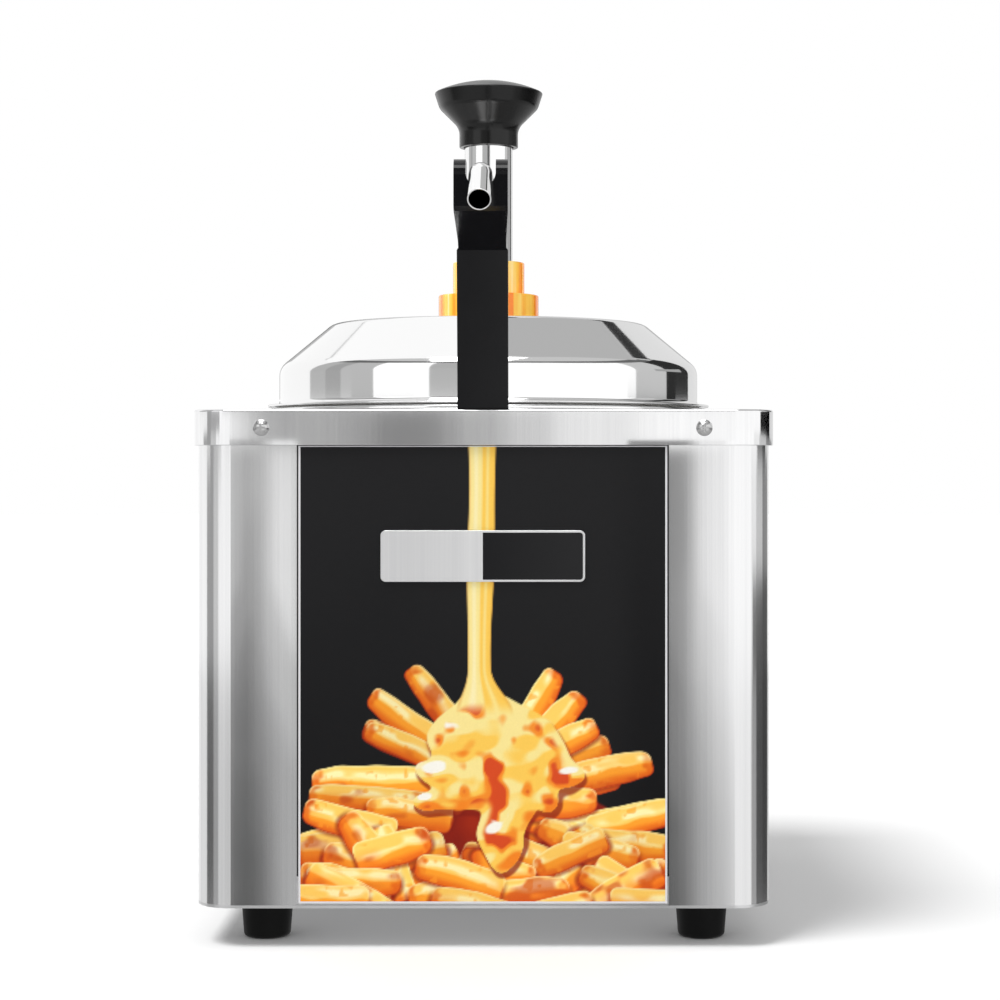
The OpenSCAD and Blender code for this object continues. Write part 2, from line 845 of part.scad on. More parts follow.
// The lid's line in section, t below its outer surface
function lid_line(t) = concat(
  [[lid_flange_r, lid_flange_z - t]],
  arc([lid_wall_r + root_r, lid_flange_z + root_r], root_r + t, 270, 180, 6),
  arc(shoulder_c, shoulder_r - t, 0, cone_normal, 8),
  arc(crown_c, crown_edge_r - t, cone_normal, 88, 6),
  [[crown_flat_r, lid_top - t], [lid_hole_r, lid_top - t]]
);

function reversed(list) = [for (i = [len(list) - 1:-1:0]) list[i]];

module lid() {
  color("gainsboro") rotate_extrude($fn = fine) polygon(concat(lid_line(0), reversed(lid_line(lid_t))));
}

module lid_seal() {
  seal_z = pot_flange_z + pot_flange_t + gap;
  color("ivory") translate([0, 0, seal_z]) ring(114.8, 107, lid_flange_z - lid_t - seal_z);
}

// A plain ring around the column, with a chamfer round its top
module column_ring(r, h, z) {
  edge = 0.8;
  color("orange") translate([0, 0, z]) difference() {
    union() {
      rod(r, h - edge);
      translate([0, 0, h - edge]) cylinder(h = edge, r1 = r, r2 = r - edge, $fn = fine);
    }
    translate([0, 0, -1]) rod(column_r + slip, h + 2);
  }
}

module lock_nut() {
  column_ring(lock_nut_r, lock_nut_h, lid_top);
}

module guide_bush() {
  column_ring(bush_r, bush_h, lid_top + lock_nut_h);
}

module clamp_nut() {
  color("silver") translate([0, 0, lid_top - lid_t - 8]) difference() {
    cylinder(h = 8, d = 44, $fn = 6);
    translate([0, 0, -1]) rod(column_r + slip, 10);
  }
}

// ---------- pump ----------

module pump_column() {
  inner = column_r - column_t;
  color("gainsboro") difference() {
    translate([0, 0, column_z]) ring(column_r, inner, column_top - column_z);
    translate([0, 0, spout_z]) rotate([90 + spout_fall, 0, 0]) rod(spout_r + slip, 30);
  }
}

module column_cap() {
  plug_h = 10;
  color("ivory") difference() {
    union() {
      translate([0, 0, column_top]) rod(column_r, cap_h);
      translate([0, 0, column_top - plug_h]) rod(column_r - column_t - slip, plug_h + 0.5);
    }
    translate([0, 0, column_top - plug_h - 1]) rod(rod_r + rod_fit, plug_h + cap_h + 2);
  }
}

// The spout's run, bend and mouth as one bar. The mouth is a hair larger than the bend and
// starts just inside it, so that the two round faces never lie on each other.
module spout_bar(r, extra) {
  lap = 0.4;
  start = column_r - column_t / 2 - extra;
  translate([0, 0, start]) rod(r, run_l - start);
  translate([0, -bend_r, run_l]) {
    rotate([90, 0, 90]) rotate_extrude(angle = bend_turn, $fn = fine) {
      translate([bend_r, 0]) circle(r, $fn = fine);
    }
    rotate([bend_turn, 0, 0]) translate([0, bend_r, -lap]) {
      rod(r + slip, mouth_l - bend_tangent + lap + extra);
    }
  }
}

module spout_tube() {
  color("gainsboro") translate([0, 0, spout_z]) rotate([90 + spout_fall, 0, 0]) difference() {
    spout_bar(spout_r, 0);
    spout_bar(spout_r - spout_wall, 1);
  }
}

module spout_nut() {
  color("gainsboro") translate([0, 0, spout_z]) rotate([90 + spout_fall, 0, 0]) difference() {
    translate([0, 0, column_r - 2]) rod(7.6, 9, coarse);
    rod(spout_r + slip, 40, fine);
    rotate([-90 - spout_fall, 0, 0]) translate([0, 0, -20]) rod(column_r + slip, 40);
  }
}

module pump_cylinder() {
  outer = cylinder_r + cylinder_t;
  color("gainsboro") {
    translate([0, 0, cylinder_z]) ring(outer, cylinder_r, cylinder_top - cylinder_z);
    translate([0, 0, cylinder_top - 6]) ring(outer, column_r + slip, 6);
  }
}

module valve_seat() {
  color("ivory") translate([0, 0, cylinder_z]) difference() {
    rod(cylinder_r - slip, seat_h);
    translate([0, 0, -1]) rod(seat_hole_r, seat_h + 2);
  }
}

module valve_cage() {
  posts = 4;
  post_r = 1.2;
  roof = 1.5;
  color("silver") {
    for (i = [0:posts - 1]) {
      rotate(i * 360 / posts) translate([cage_r - post_r - 0.4, 0, seat_top]) {
        rod(post_r, cage_top - seat_top - 0.5, 24);
      }
    }
    translate([0, 0, cage_top - roof]) ring(cage_r, 3, roof);
  }
}

module check_ball() {
  color("silver") translate([0, 0, ball_z]) sphere(ball_r, $fn = 64);
}

// ---------- plunger ----------

module knob() {
  flare_r = 9;
  flare_z = knob_z + 6.9;
  bowl_r = 6;
  bowl_c = [knob_r - 7.7, knob_z + 24.8];
  side_tilt = 17;
  rim_edge = 0.8;
  rim_c = [knob_r - rim_edge, knob_rim_z];
  rim_end = rim_c + rim_edge * [cos(65), sin(65)];
  dome_h = knob_top - rim_end[1];
  dome_r = (rim_end[0] * rim_end[0] + dome_h * dome_h) / (2 * dome_h);
  dome_from = acos(rim_end[0] / dome_r);
  color([0.06, 0.06, 0.06]) rotate_extrude($fn = fine) polygon(concat(
    [[knob_cup_r, knob_z], [knob_neck_r, knob_z]],
    arc([knob_neck_r + flare_r, flare_z], flare_r, 180, 135, 6),
    arc(bowl_c, bowl_r, 315, 360 - side_tilt, 4),
    arc(rim_c, rim_edge, -side_tilt, 65, 4),
    arc([0, knob_top - dome_r], dome_r, dome_from + 3, 90, 8),
    [[0, rod_top - 4.5], [rod_r + press, rod_top - 4.5]],
    [[rod_r + press, knob_cup_z], [knob_cup_r, knob_cup_z]]
  ));
}

module knob_insert() {
  color("goldenrod") translate([0, 0, knob_cup_z - insert_h]) ring(insert_r, rod_r + press, insert_h);
}

module plunger_rod() {
  color("gainsboro") translate([0, 0, rod_z]) rod(rod_r, rod_top - 5 - rod_z);
}

module piston() {
  ports = 6;
  color("ivory") translate([0, 0, piston_z]) difference() {
    rod(cylinder_r - piston_gap, piston_h);
    translate([0, 0, -1]) rod(rod_r + press, piston_h + 2);
    translate([0, 0, groove_z]) ring(cylinder_r + 1, cylinder_r - groove_depth, groove_h);
    for (i = [0:ports - 1]) rotate(i * 360 / ports) translate([11, 0, -1]) rod(2.4, piston_h + 2, 24);
  }
}

module piston_ring() {
  color([0.1, 0.1, 0.1]) translate([0, 0, piston_z + groove_z + slip]) {
    ring(cylinder_r - ring_gap, cylinder_r - groove_depth + slip, groove_h - 2 * slip);
  }
}

module piston_nut() {
  color("silver") translate([0, 0, piston_z - 5]) hex_nut(14, 5, rod_r + press);
}

module plunger_spring() {
  steps = 20;
  foot = seat_top + spring_wire_r + 0.1;
  height = piston_z - spring_wire_r - 0.1 - foot;
  count = spring_turns * steps;
  color("silver") {
    tube_along([for (i = [0:count]) let (a = 360 * i / steps)
      [spring_r * cos(a), spring_r * sin(a), foot + height * i / count]], spring_wire_r);
  }
}

// ---------- nodes ----------

body_shell();
top_deck();
bottom_tray();
front_panel();
panel_backing();
badge_plate();
deck_screws();
deck_nuts();
foot(-1, -1);  // foot_front_left
foot(1, -1);  // foot_front_right
foot(-1, 1);  // foot_rear_left
foot(1, 1);  // foot_rear_right
foot_screws();
water_well();
well_gasket();
well_nuts();
heating_element();
element_clamps();
insulation_jacket();
thermostat_body();
thermostat_bulb();
thermal_cutout();
terminal_block();
internal_wiring();
power_inlet();
inlet_pins();
inlet_screws();
control_plate();
switch_housing();
indicator_lamp();
spout_arm();
arm_screws();
arm_gasket();
earth_stud();
food_pot();
lid();
lid_seal();
lock_nut();
guide_bush();
pump_column();
column_cap();
spout_tube();
spout_nut();
pump_cylinder();
valve_seat();
valve_cage();
clamp_nut();
knob();
knob_insert();
plunger_rod();
piston();
piston_ring();
piston_nut();
plunger_spring();
check_ball();
thermostat_dial();
thermostat_shaft();
power_rocker();
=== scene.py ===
"""Looks of the countertop cheese dispenser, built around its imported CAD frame.

Lengths are metres in the CAD frame: X to the right, Y to the back, Z up, with the
origin on the table under the pump. MM turns the small sizes of edges and sheet
thicknesses, which are given in millimetres, into metres.
"""

import math

import bmesh
import bpy
import numpy as np
from mathutils import Matrix, Vector


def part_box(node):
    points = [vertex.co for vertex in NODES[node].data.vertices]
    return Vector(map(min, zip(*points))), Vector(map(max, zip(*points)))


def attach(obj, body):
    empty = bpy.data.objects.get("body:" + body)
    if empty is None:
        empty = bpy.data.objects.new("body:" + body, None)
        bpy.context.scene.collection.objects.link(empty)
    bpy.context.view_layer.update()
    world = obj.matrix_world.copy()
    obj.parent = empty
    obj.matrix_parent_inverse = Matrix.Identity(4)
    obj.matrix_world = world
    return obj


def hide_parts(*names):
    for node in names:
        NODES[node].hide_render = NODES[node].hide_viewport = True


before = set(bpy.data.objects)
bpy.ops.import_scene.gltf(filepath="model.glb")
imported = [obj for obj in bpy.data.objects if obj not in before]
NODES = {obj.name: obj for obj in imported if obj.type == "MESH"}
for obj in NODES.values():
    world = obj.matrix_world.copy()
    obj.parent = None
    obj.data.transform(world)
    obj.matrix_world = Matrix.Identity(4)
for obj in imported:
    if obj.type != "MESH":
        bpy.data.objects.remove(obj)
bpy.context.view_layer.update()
MM = 0.001
FINE = 192


# ---------- outlines and solids ----------

def mesh_piece(name, verts, faces, smooth=True):
    """A mesh object from lists of points and faces."""
    mesh = bpy.data.meshes.new(name)
    mesh.from_pydata([tuple(v) for v in verts], [], [tuple(f) for f in faces])
    mesh.validate()
    mesh.update()
    piece = bpy.data.objects.new(name, mesh)
    bpy.context.scene.collection.objects.link(piece)
    if smooth:
        mesh.polygons.foreach_set("use_smooth", [True] * len(mesh.polygons))
    return piece


def fillet(points, steps=6):
    """A closed outline of (x, y, radius) corners as points, with each corner rounded."""
    out = []
    count = len(points)
    for i, (x, y, radius) in enumerate(points):
        here = Vector((x, y))
        before = Vector(points[i - 1][:2]) - here
        after = Vector(points[(i + 1) % count][:2]) - here
        if radius <= 0 or before.length < 1e-9 or after.length < 1e-9:
            out.append((x, y))
            continue
        a, b = before.normalized(), after.normalized()
        half = a.angle(b, math.pi) / 2
        if half > math.pi / 2 - 1e-3:
            out.append((x, y))
            continue
        reach = min(radius / math.tan(half), before.length * 0.49, after.length * 0.49)
        radius = reach * math.tan(half)
        centre = here + (a + b).normalized() * (radius / math.sin(half))
        start = here + a * reach - centre
        turn = start.angle_signed(here + b * reach - centre)
        for k in range(steps + 1):
            spoke = start.copy()
            spoke.rotate(rotation_2d(-turn * k / steps))
            out.append(tuple(centre + spoke))
    return out


def rotation_2d(angle):
    """A turn in the plane."""
    return Matrix.Rotation(angle, 2)


def arc_points(cx, cy, radius, start, end, steps):
    """Points on an arc, with angles in degrees."""
    angles = np.radians(np.linspace(start, end, steps + 1))
    return [(cx + radius * math.cos(a), cy + radius * math.sin(a)) for a in angles]


def lathe(name, outline, steps=FINE, axis_x=0.0, axis_y=0.0):
    """A solid turned about an upright axis. The closed outline is (radius, height) points,
    and those on the axis have radius 0."""
    verts, rings = [], []
    for r, z in outline:
        if r < 1e-7:
            rings.append([len(verts)] * steps)
            verts.append((axis_x, axis_y, z))
            continue
        rings.append(list(range(len(verts), len(verts) + steps)))
        for k in range(steps):
            a = 2 * math.pi * k / steps
            verts.append((axis_x + r * math.cos(a), axis_y + r * math.sin(a), z))
    faces = []
    for i in range(len(rings)):
        lower, upper = rings[i], rings[(i + 1) % len(rings)]
        if lower[0] == lower[1] and upper[0] == upper[1]:
            continue
        for k in range(steps):
            m = (k + 1) % steps
            face = []
            for v in (lower[k], lower[m], upper[m], upper[k]):
                if v not in face:
                    face.append(v)
            faces.append(face)
    return mesh_piece(name, verts, faces)


def loft(name, loops):
    """A closed solid ring: each loop joins the next, and the last joins the first."""
    count = len(loops[0])
    verts = [p for loop in loops for p in loop]
    faces = []
    for i in range(len(loops)):
        a, b = i * count, (i + 1) % len(loops) * count
        for k in range(count):
            m = (k + 1) % count
            faces.append((a + k, a + m, b + m, b + k))
    return mesh_piece(name, verts, faces)


def square_loop(half, radius, z, per_corner=20, per_side=8):
    """A rounded square around the Z axis at height z, counter-clockwise from the right side."""
    points = []
    inner = half - radius
    for quarter in range(4):
        turn = math.radians(90 * quarter)
        ca, sa = math.cos(turn), math.sin(turn)
        side = [(half, -inner + 2 * inner * k / per_side) for k in range(per_side)]
        corner = [
            (inner + radius * math.cos(a), inner + radius * math.sin(a))
            for a in np.radians(np.linspace(0, 90, per_corner + 1)[:-1])
        ]
        points += [(x * ca - y * sa, x * sa + y * ca, z) for x, y in side + corner]
    return points


def circle_like(loop, radius, z):
    """A circle whose points lie at the same angles as the loop's."""
    return [
        (radius * math.cos(math.atan2(y, x)), radius * math.sin(math.atan2(y, x)), z)
        for x, y, _ in loop
    ]


def prism(name, outline, low, high, plane="XY"):
    """An outline of (a, b) points, extruded along the remaining axis."""
    place = {
        "XY": lambda a, b, c: (a, b, c),
        "XZ": lambda a, b, c: (a, c, b),
        "YZ": lambda a, b, c: (c, a, b),
    }[plane]
    count = len(outline)
    verts = [place(a, b, low) for a, b in outline] + [place(a, b, high) for a, b in outline]
    faces = [list(range(count))[::-1], list(range(count, 2 * count))]
    for k in range(count):
        m = (k + 1) % count
        faces.append((k, m, count + m, count + k))
    piece = mesh_piece(name, verts, faces)
    outward(piece)
    return piece


def outward(piece):
    """Turns every face of a closed piece to look outward."""
    work = bmesh.new()
    work.from_mesh(piece.data)
    bmesh.ops.recalc_face_normals(work, faces=work.faces)
    work.to_mesh(piece.data)
    work.free()


def soften(piece, width, segments=3, angle=35):
    """Rounded edges by modifier, unless the width is 0, with flat faces kept flat in shading."""
    if width:
        bevel = piece.modifiers.new("edges", "BEVEL")
        bevel.width = width
        bevel.segments = segments
        bevel.limit_method = "ANGLE"
        bevel.angle_limit = math.radians(angle)
        bevel.harden_normals = False
    weighted = piece.modifiers.new("normals", "WEIGHTED_NORMAL")
    weighted.keep_sharp = True
    weighted.weight = 100
    return piece


def stand_for(piece, body, slot, material, *replaced):
    """Gives a finished piece its body, its look and the nodes it stands for. The slot argument is not used.
    """
    piece.data.materials.clear()
    piece.data.materials.append(material)
    outward(piece)
    if replaced:
        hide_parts(*replaced)
    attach(piece, body)
    return piece


def dress(material, *names):
    """A new material on CAD nodes that keep their own shape."""
    for name in names:
        mesh = NODES[name].data
        mesh.materials.clear()
        mesh.materials.append(material)


# ---------- materials ----------

def new_material(name, color, metallic=0.0, roughness=0.4, **sockets):
    """A Principled material, its node tree's links, its shader and object coordinates."""
    material = bpy.data.materials.new(name)
    material.use_nodes = True
    tree = material.node_tree
    shader = tree.nodes["Principled BSDF"]
    shader.inputs["Base Color"].default_value = (*color, 1.0)
    shader.inputs["Metallic"].default_value = metallic
    shader.inputs["Roughness"].default_value = roughness
    for key, value in sockets.items():
        shader.inputs[key.replace("_", " ")].default_value = value
    coords = tree.nodes.new("ShaderNodeTexCoord")
    return material, tree, shader, coords


def noise(tree, coords, scale, stretch=(1, 1, 1), detail=4.0, roughness=0.55):
    """A noise texture in object space, stretched along an axis by a small scale there."""
    mapping = tree.nodes.new("ShaderNodeMapping")
    mapping.inputs["Scale"].default_value = stretch
    texture = tree.nodes.new("ShaderNodeTexNoise")
    texture.inputs["Scale"].default_value = scale
    texture.inputs["Detail"].default_value = detail
    texture.inputs["Roughness"].default_value = roughness
    tree.links.new(coords.outputs["Object"], mapping.inputs["Vector"])
    tree.links.new(mapping.outputs["Vector"], texture.inputs["Vector"])
    return texture.outputs["Fac"]


def ranged(tree, value, low, high, from_low=0.3, from_high=0.7):
    """A texture value spread over a new range."""
    spread = tree.nodes.new("ShaderNodeMapRange")
    spread.inputs["From Min"].default_value = from_low
    spread.inputs["From Max"].default_value = from_high
    spread.inputs["To Min"].default_value = low
    spread.inputs["To Max"].default_value = high
    tree.links.new(value, spread.inputs["Value"])
    return spread.outputs["Result"]


def mixed(tree, first, second, share):
    """Two texture values, mixed."""
    node = tree.nodes.new("ShaderNodeMix")
    node.inputs["Factor"].default_value = share
    tree.links.new(first, node.inputs["A"])
    tree.links.new(second, node.inputs["B"])
    return node.outputs["Result"]


def ramp(tree, value, stops):
    """A colour ramp of (position, colour) stops."""
    node = tree.nodes.new("ShaderNodeValToRGB")
    elements = node.color_ramp.elements
    while len(elements) < len(stops):
        elements.new(0.5)
    for element, (position, color) in zip(elements, stops):
        element.position = position
        element.color = (*color, 1.0)
    tree.links.new(value, node.inputs["Fac"])
    return node.outputs["Color"]


def bump(tree, shader, height, strength, distance):
    """A bump on the shader's normal."""
    node = tree.nodes.new("ShaderNodeBump")
    node.inputs["Strength"].default_value = strength
    node.inputs["Distance"].default_value = distance
    tree.links.new(height, node.inputs["Height"])
    tree.links.new(node.outputs["Normal"], shader.inputs["Normal"])


def brushed_steel(name, along=2, tone=0.80, rough=(0.16, 0.26), depth=0.05, bands=0.0):
    """Stainless sheet with fine brush lines along one axis, and soft broad bands beside them."""
    color = (tone, tone, tone * 1.01)
    material, tree, shader, coords = new_material(name, color, metallic=1.0, roughness=0.2)
    line_stretch = tuple(0.02 if i == along else 12 for i in range(3))
    band_stretch = tuple(0.006 if i == along else 0.9 for i in range(3))
    lines = noise(tree, coords, 90, line_stretch, detail=5, roughness=0.7)
    broad = noise(tree, coords, 90, band_stretch, detail=3)
    smears = noise(tree, coords, 7, (1, 1, 1), detail=3)
    tree.links.new(ranged(tree, smears, *rough), shader.inputs["Roughness"])
    low, high = tone * (0.95 - bands), min(1.0, tone * (1.04 + bands))
    stops = [(0.3, (low, low, low * 1.01)), (0.7, (high, high, high))]
    tree.links.new(ramp(tree, mixed(tree, lines, broad, 0.6), stops), shader.inputs["Base Color"])
    bump(tree, shader, mixed(tree, lines, broad, 0.3), depth, 0.15 * MM)
    return material


def polished_steel(name, tone=0.88, rough=(0.04, 0.1)):
    """Bright steel with faint handling marks."""
    material, tree, shader, coords = new_material(name, (tone, tone, tone), metallic=1.0, roughness=0.06)
    marks = noise(tree, coords, 30, (1, 1, 3), detail=5)
    tree.links.new(ranged(tree, marks, *rough), shader.inputs["Roughness"])
    bump(tree, shader, noise(tree, coords, 300, (1, 1, 1), detail=2), 0.015, 0.1 * MM)
    return material


def spun_steel(name, tone, rough):
    """Polished sheet with faint turning lines around the Z axis."""
    material, tree, shader, coords = new_material(name, (tone, tone, tone), metallic=1.0, roughness=0.1)
    flat = tree.nodes.new("ShaderNodeVectorMath")
    flat.operation = "MULTIPLY"
    flat.inputs[1].default_value = (1, 1, 0)
    radius = tree.nodes.new("ShaderNodeVectorMath")
    radius.operation = "LENGTH"
    lines = tree.nodes.new("ShaderNodeTexNoise")
    lines.noise_dimensions = "1D"
    lines.inputs["Scale"].default_value = 1400
    lines.inputs["Detail"].default_value = 4
    tree.links.new(coords.outputs["Object"], flat.inputs[0])
    tree.links.new(flat.outputs["Vector"], radius.inputs[0])
    tree.links.new(radius.outputs["Value"], lines.inputs["W"])
    marks = noise(tree, coords, 14, (1, 1, 1), detail=4)
    wear = mixed(tree, marks, lines.outputs["Fac"], 0.5)
    tree.links.new(ranged(tree, wear, *rough), shader.inputs["Roughness"])
    bump(tree, shader, lines.outputs["Fac"], 0.03, 0.1 * MM)
    return material


def plastic(name, color, rough=(0.15, 0.3), grain=900, bump_strength=0.04, **sockets):
    """Moulded plastic with a fine skin and slight unevenness of gloss."""
    material, tree, shader, coords = new_material(name, color, roughness=0.2, **sockets)
    tree.links.new(ranged(tree, noise(tree, coords, 22), *rough), shader.inputs["Roughness"])
    tint = noise(tree, coords, 9)
    dim = tuple(c * 0.92 for c in color)
    glow = tuple(min(1.0, c * 1.06) for c in color)
    tree.links.new(ramp(tree, tint, [(0.35, dim), (0.65, glow)]), shader.inputs["Base Color"])
    bump(tree, shader, noise(tree, coords, grain, detail=2), bump_strength, 0.05 * MM)
    return material


def amber_plastic(name):
    """Clear amber plastic: upright streaks from deep orange to pale yellow, and a painted glow: the same
    colours are also given off weakly as light, though the rings are no lamp.
    """
    material, tree, shader, coords = new_material(
        name, (1.0, 0.55, 0.05), roughness=0.15, Subsurface_Weight=0.15,
        Subsurface_Radius=(0.004, 0.002, 0.001), Coat_Weight=0.3, Coat_Roughness=0.06,
        Emission_Strength=0.22,
    )
    streaks = noise(tree, coords, 130, (1, 1, 0.03), detail=2)
    color = ramp(tree, streaks, [
        (0.36, (1.0, 0.24, 0.005)), (0.46, (1.0, 0.48, 0.03)),
        (0.56, (1.0, 0.62, 0.08)), (0.66, (1.0, 0.86, 0.5)),
    ])
    tree.links.new(color, shader.inputs["Base Color"])
    # Painted glow: the streak colours are also emitted, which brightens the amber as if lit.
    tree.links.new(color, shader.inputs["Emission Color"])
    tree.links.new(ranged(tree, noise(tree, coords, 22), 0.1, 0.2), shader.inputs["Roughness"])
    bump(tree, shader, noise(tree, coords, 60, detail=2), 0.05, 0.3 * MM)
    return material


SHEET = brushed_steel("brushed_sheet", rough=(0.09, 0.15), depth=0.03, bands=0.04)
DECK_STEEL = brushed_steel("brushed_deck", tone=0.82, rough=(0.05, 0.09), depth=0.02, bands=0.03)
DECK_TOP_STEEL = brushed_steel("brushed_deck_top", along=0, tone=0.82)
POLISHED = polished_steel("polished")
LID_STEEL = spun_steel("spun_lid", tone=0.87, rough=(0.05, 0.09))
PLAIN_STEEL = brushed_steel("plain_steel", tone=0.7, rough=(0.28, 0.4))
BADGE_STEEL = brushed_steel("badge_steel", tone=0.86, rough=(0.3, 0.4), depth=0.03, bands=0.04)
SCREW_STEEL = polished_steel("screw_steel", tone=0.6, rough=(0.2, 0.3))
BLACK_GLOSS = plastic(
    "black_gloss", (0.003, 0.003, 0.004), rough=(0.1, 0.17), bump_strength=0.015, Specular_IOR_Level=0.32,
)
BLACK_SATIN = plastic(
    "black_satin", (0.003, 0.003, 0.003), rough=(0.18, 0.26), bump_strength=0.02, Specular_IOR_Level=0.36,
)
BLACK_PLASTIC = plastic("black_plastic", (0.02, 0.02, 0.022), rough=(0.35, 0.5), grain=500)
RUBBER = plastic(
    "rubber", (0.003, 0.003, 0.003), rough=(0.4, 0.6), grain=700, bump_strength=0.1,
    Specular_IOR_Level=0.12,
)
AMBER = amber_plastic("amber")
WHITE_POLYMER = plastic("white_polymer", (0.82, 0.81, 0.77), rough=(0.35, 0.5))
BRASS = plastic("brass", (0.72, 0.52, 0.22), rough=(0.2, 0.35), Metallic=1.0)
COPPER = plastic("copper_capillary", (0.75, 0.4, 0.25), Metallic=1.0)
SHEATH = brushed_steel("element_sheath", tone=0.3, rough=(0.45, 0.6))
WOOL = plastic("glass_wool", (0.78, 0.7, 0.42), rough=(0.8, 0.95), grain=220, bump_strength=0.8)
CERAMIC = plastic("control_body", (0.6, 0.57, 0.5), rough=(0.5, 0.7))
WIRE_RED = plastic("wire_red", (0.5, 0.03, 0.02), rough=(0.3, 0.45))
ROCKER_RED = plastic("rocker_red", (0.55, 0.03, 0.02), rough=(0.15, 0.25), Transmission_Weight=0.2)
LAMP_LENS = plastic("lamp_lens", (0.9, 0.22, 0.03), rough=(0.08, 0.15), Transmission_Weight=0.4)


# ---------- sizes taken from the frame ----------

DECK_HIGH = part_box("top_deck")[1]
PANEL_LOW, PANEL_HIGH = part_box("front_panel")
BADGE_LOW, BADGE_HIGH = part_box("badge_plate")
LID_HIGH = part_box("lid")[1]
KNOB_LOW, KNOB_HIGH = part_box("knob")
COLUMN_LOW, COLUMN_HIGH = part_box("pump_column")


def turned(name, node, outline, body, slot, material):
    """A turned piece that stands for one CAD node."""
    return soften(stand_for(lathe(name, outline), body, slot, material, node), 0)


# ---------- deck ----------

def make_deck():
    """The square top with its turned-down skirt and the round hole for the pot."""
    half = DECK_HIGH.x
    radius = 20.2 * MM
    wall = 1.2 * MM
    top = DECK_HIGH.z
    skirt_bottom = top - 17.4 * MM
    under = top - wall
    hole = 106 * MM
    edge = 1.1 * MM
    fine_edge = 0.25 * MM

    def shell(inset, z):
        return square_loop(half - inset, radius - inset, z)

    loops = [shell(wall, skirt_bottom), shell(fine_edge, skirt_bottom), shell(0, skirt_bottom + fine_edge)]
    for k in range(7):
        a = math.radians(90 * k / 6)
        loops.append(shell(edge * (1 - math.cos(a)), top - edge * (1 - math.sin(a))))
    ref = loops[-1]
    loops += [circle_like(ref, hole + 0.6 * MM, top), circle_like(ref, hole, top - 0.6 * MM)]
    loops += [circle_like(ref, hole, under), shell(wall, under)]
    deck = loft("deck", loops)
    stand_for(deck, "base", "stainless", DECK_STEEL, "top_deck")
    deck.data.materials.append(DECK_TOP_STEEL)
    for face in deck.data.polygons:
        face.material_index = int(abs(face.normal.z) > 0.9)
    soften(deck, 0)


# ---------- turned pieces ----------

def make_lid():
    """The lid's outline follows the same wall, shoulder, cone and crown as the frame's."""
    flange_r = LID_HIGH.x
    flange_z = 266.2 * MM
    wall_r, shoulder_z, shoulder = 113.7 * MM, 282 * MM, 9 * MM
    slope = math.radians(39.8)
    crown_r, crown_edge = 82 * MM, 8 * MM
    normal = 90 - 39.8
    thick = 1.2 * MM
    centre_r = 13.4 * MM
    cone_foot = (
        wall_r - shoulder + shoulder * math.cos(math.radians(normal)),
        shoulder_z + shoulder * math.sin(math.radians(normal)),
    )
    start_r = crown_r + crown_edge * math.cos(math.radians(normal))
    start_z = cone_foot[1] + (cone_foot[0] - start_r) * math.tan(slope)
    crown_z = start_z - crown_edge * math.sin(math.radians(normal))
    top = LID_HIGH.z

    def line(t):
        root = 2 * MM
        points = arc_points(wall_r + root, flange_z + root, root + t, 270, 180, 8)
        points += arc_points(wall_r - shoulder, shoulder_z, shoulder - t, 0, normal, 14)
        points += arc_points(crown_r, crown_z, crown_edge - t, normal, 88, 12)
        return points + [(32 * MM, top - t), (centre_r, top - t)]

    edge = thick / 2
    rim = arc_points(flange_r - edge, flange_z - edge, edge, -90, 90, 8)
    outline = list(reversed(line(0))) + list(reversed(rim)) + line(thick)
    lid = lathe("lid_dome", outline, steps=256)
    soften(stand_for(lid, "lid_unit", "polished_steel", LID_STEEL, "lid"), 0)


def make_knob():
    """The mushroom knob: a neck, a bowl-shaped flare and a low dome."""
    low, high = KNOB_LOW.z, KNOB_HIGH.z
    rim_r = KNOB_HIGH.x
    neck, cup = 16 * MM, 13.6 * MM
    flare, bowl, edge = 9 * MM, 6 * MM, 0.8 * MM
    tilt = 17
    rim_z = low + 29.2 * MM
    bowl_c = (rim_r - 7.7 * MM, low + 24.8 * MM)
    rim_end = 65
    dome_foot = (
        rim_r - edge + edge * math.cos(math.radians(rim_end)),
        rim_z + edge * math.sin(math.radians(rim_end)),
    )
    dome_h = high - dome_foot[1]
    dome_r = (dome_foot[0] ** 2 + dome_h ** 2) / (2 * dome_h)
    start = math.degrees(math.acos(dome_foot[0] / dome_r))
    outline = arc_points(cup + 0.4 * MM, low + 0.4 * MM, 0.4 * MM, 180, 270, 4)
    outline += arc_points(neck - 0.4 * MM, low + 0.4 * MM, 0.4 * MM, 270, 360, 4)
    outline += arc_points(neck + flare, low + 6.9 * MM, flare, 180, 135, 10)
    outline += arc_points(*bowl_c, bowl, 315, 360 - tilt, 8)
    outline += arc_points(rim_r - edge, rim_z, edge, -tilt, rim_end, 8)
    outline += arc_points(0, high - dome_r, dome_r, start + 2, 90, 16)[:-1] + [(0, high)]
    outline += [(0, low + 28 * MM), (cup - 1 * MM, low + 28 * MM), (cup, low + 27 * MM)]
    knob = lathe("push_knob", outline)
    soften(stand_for(knob, "plunger", "black_gloss", BLACK_SATIN, "knob"), 0)


def ring_outline(inner, outer, low, high, edge, steps=6):
    """A ring's section with rounded edges."""
    corners = [(inner, low, edge), (outer, low, edge), (outer, high, edge), (inner, high, edge)]
    return fillet(corners, steps)


def make_amber_rings():
    for name, node in (("lock_ring", "lock_nut"), ("guide_ring", "guide_bush")):
        low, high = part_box(node)
        outline = ring_outline(COLUMN_HIGH.x + 0.05 * MM, high.x, low.z, high.z, 0.7 * MM)
        turned(name, node, outline, "lid_unit", "amber_plastic", AMBER)


def make_column():
    outer = COLUMN_HIGH.x
    outline = ring_outline(outer - 1.5 * MM, outer, COLUMN_LOW.z, COLUMN_HIGH.z, 0.3 * MM)
    turned("column_tube", "pump_column", outline, "lid_unit", "polished_steel", POLISHED)


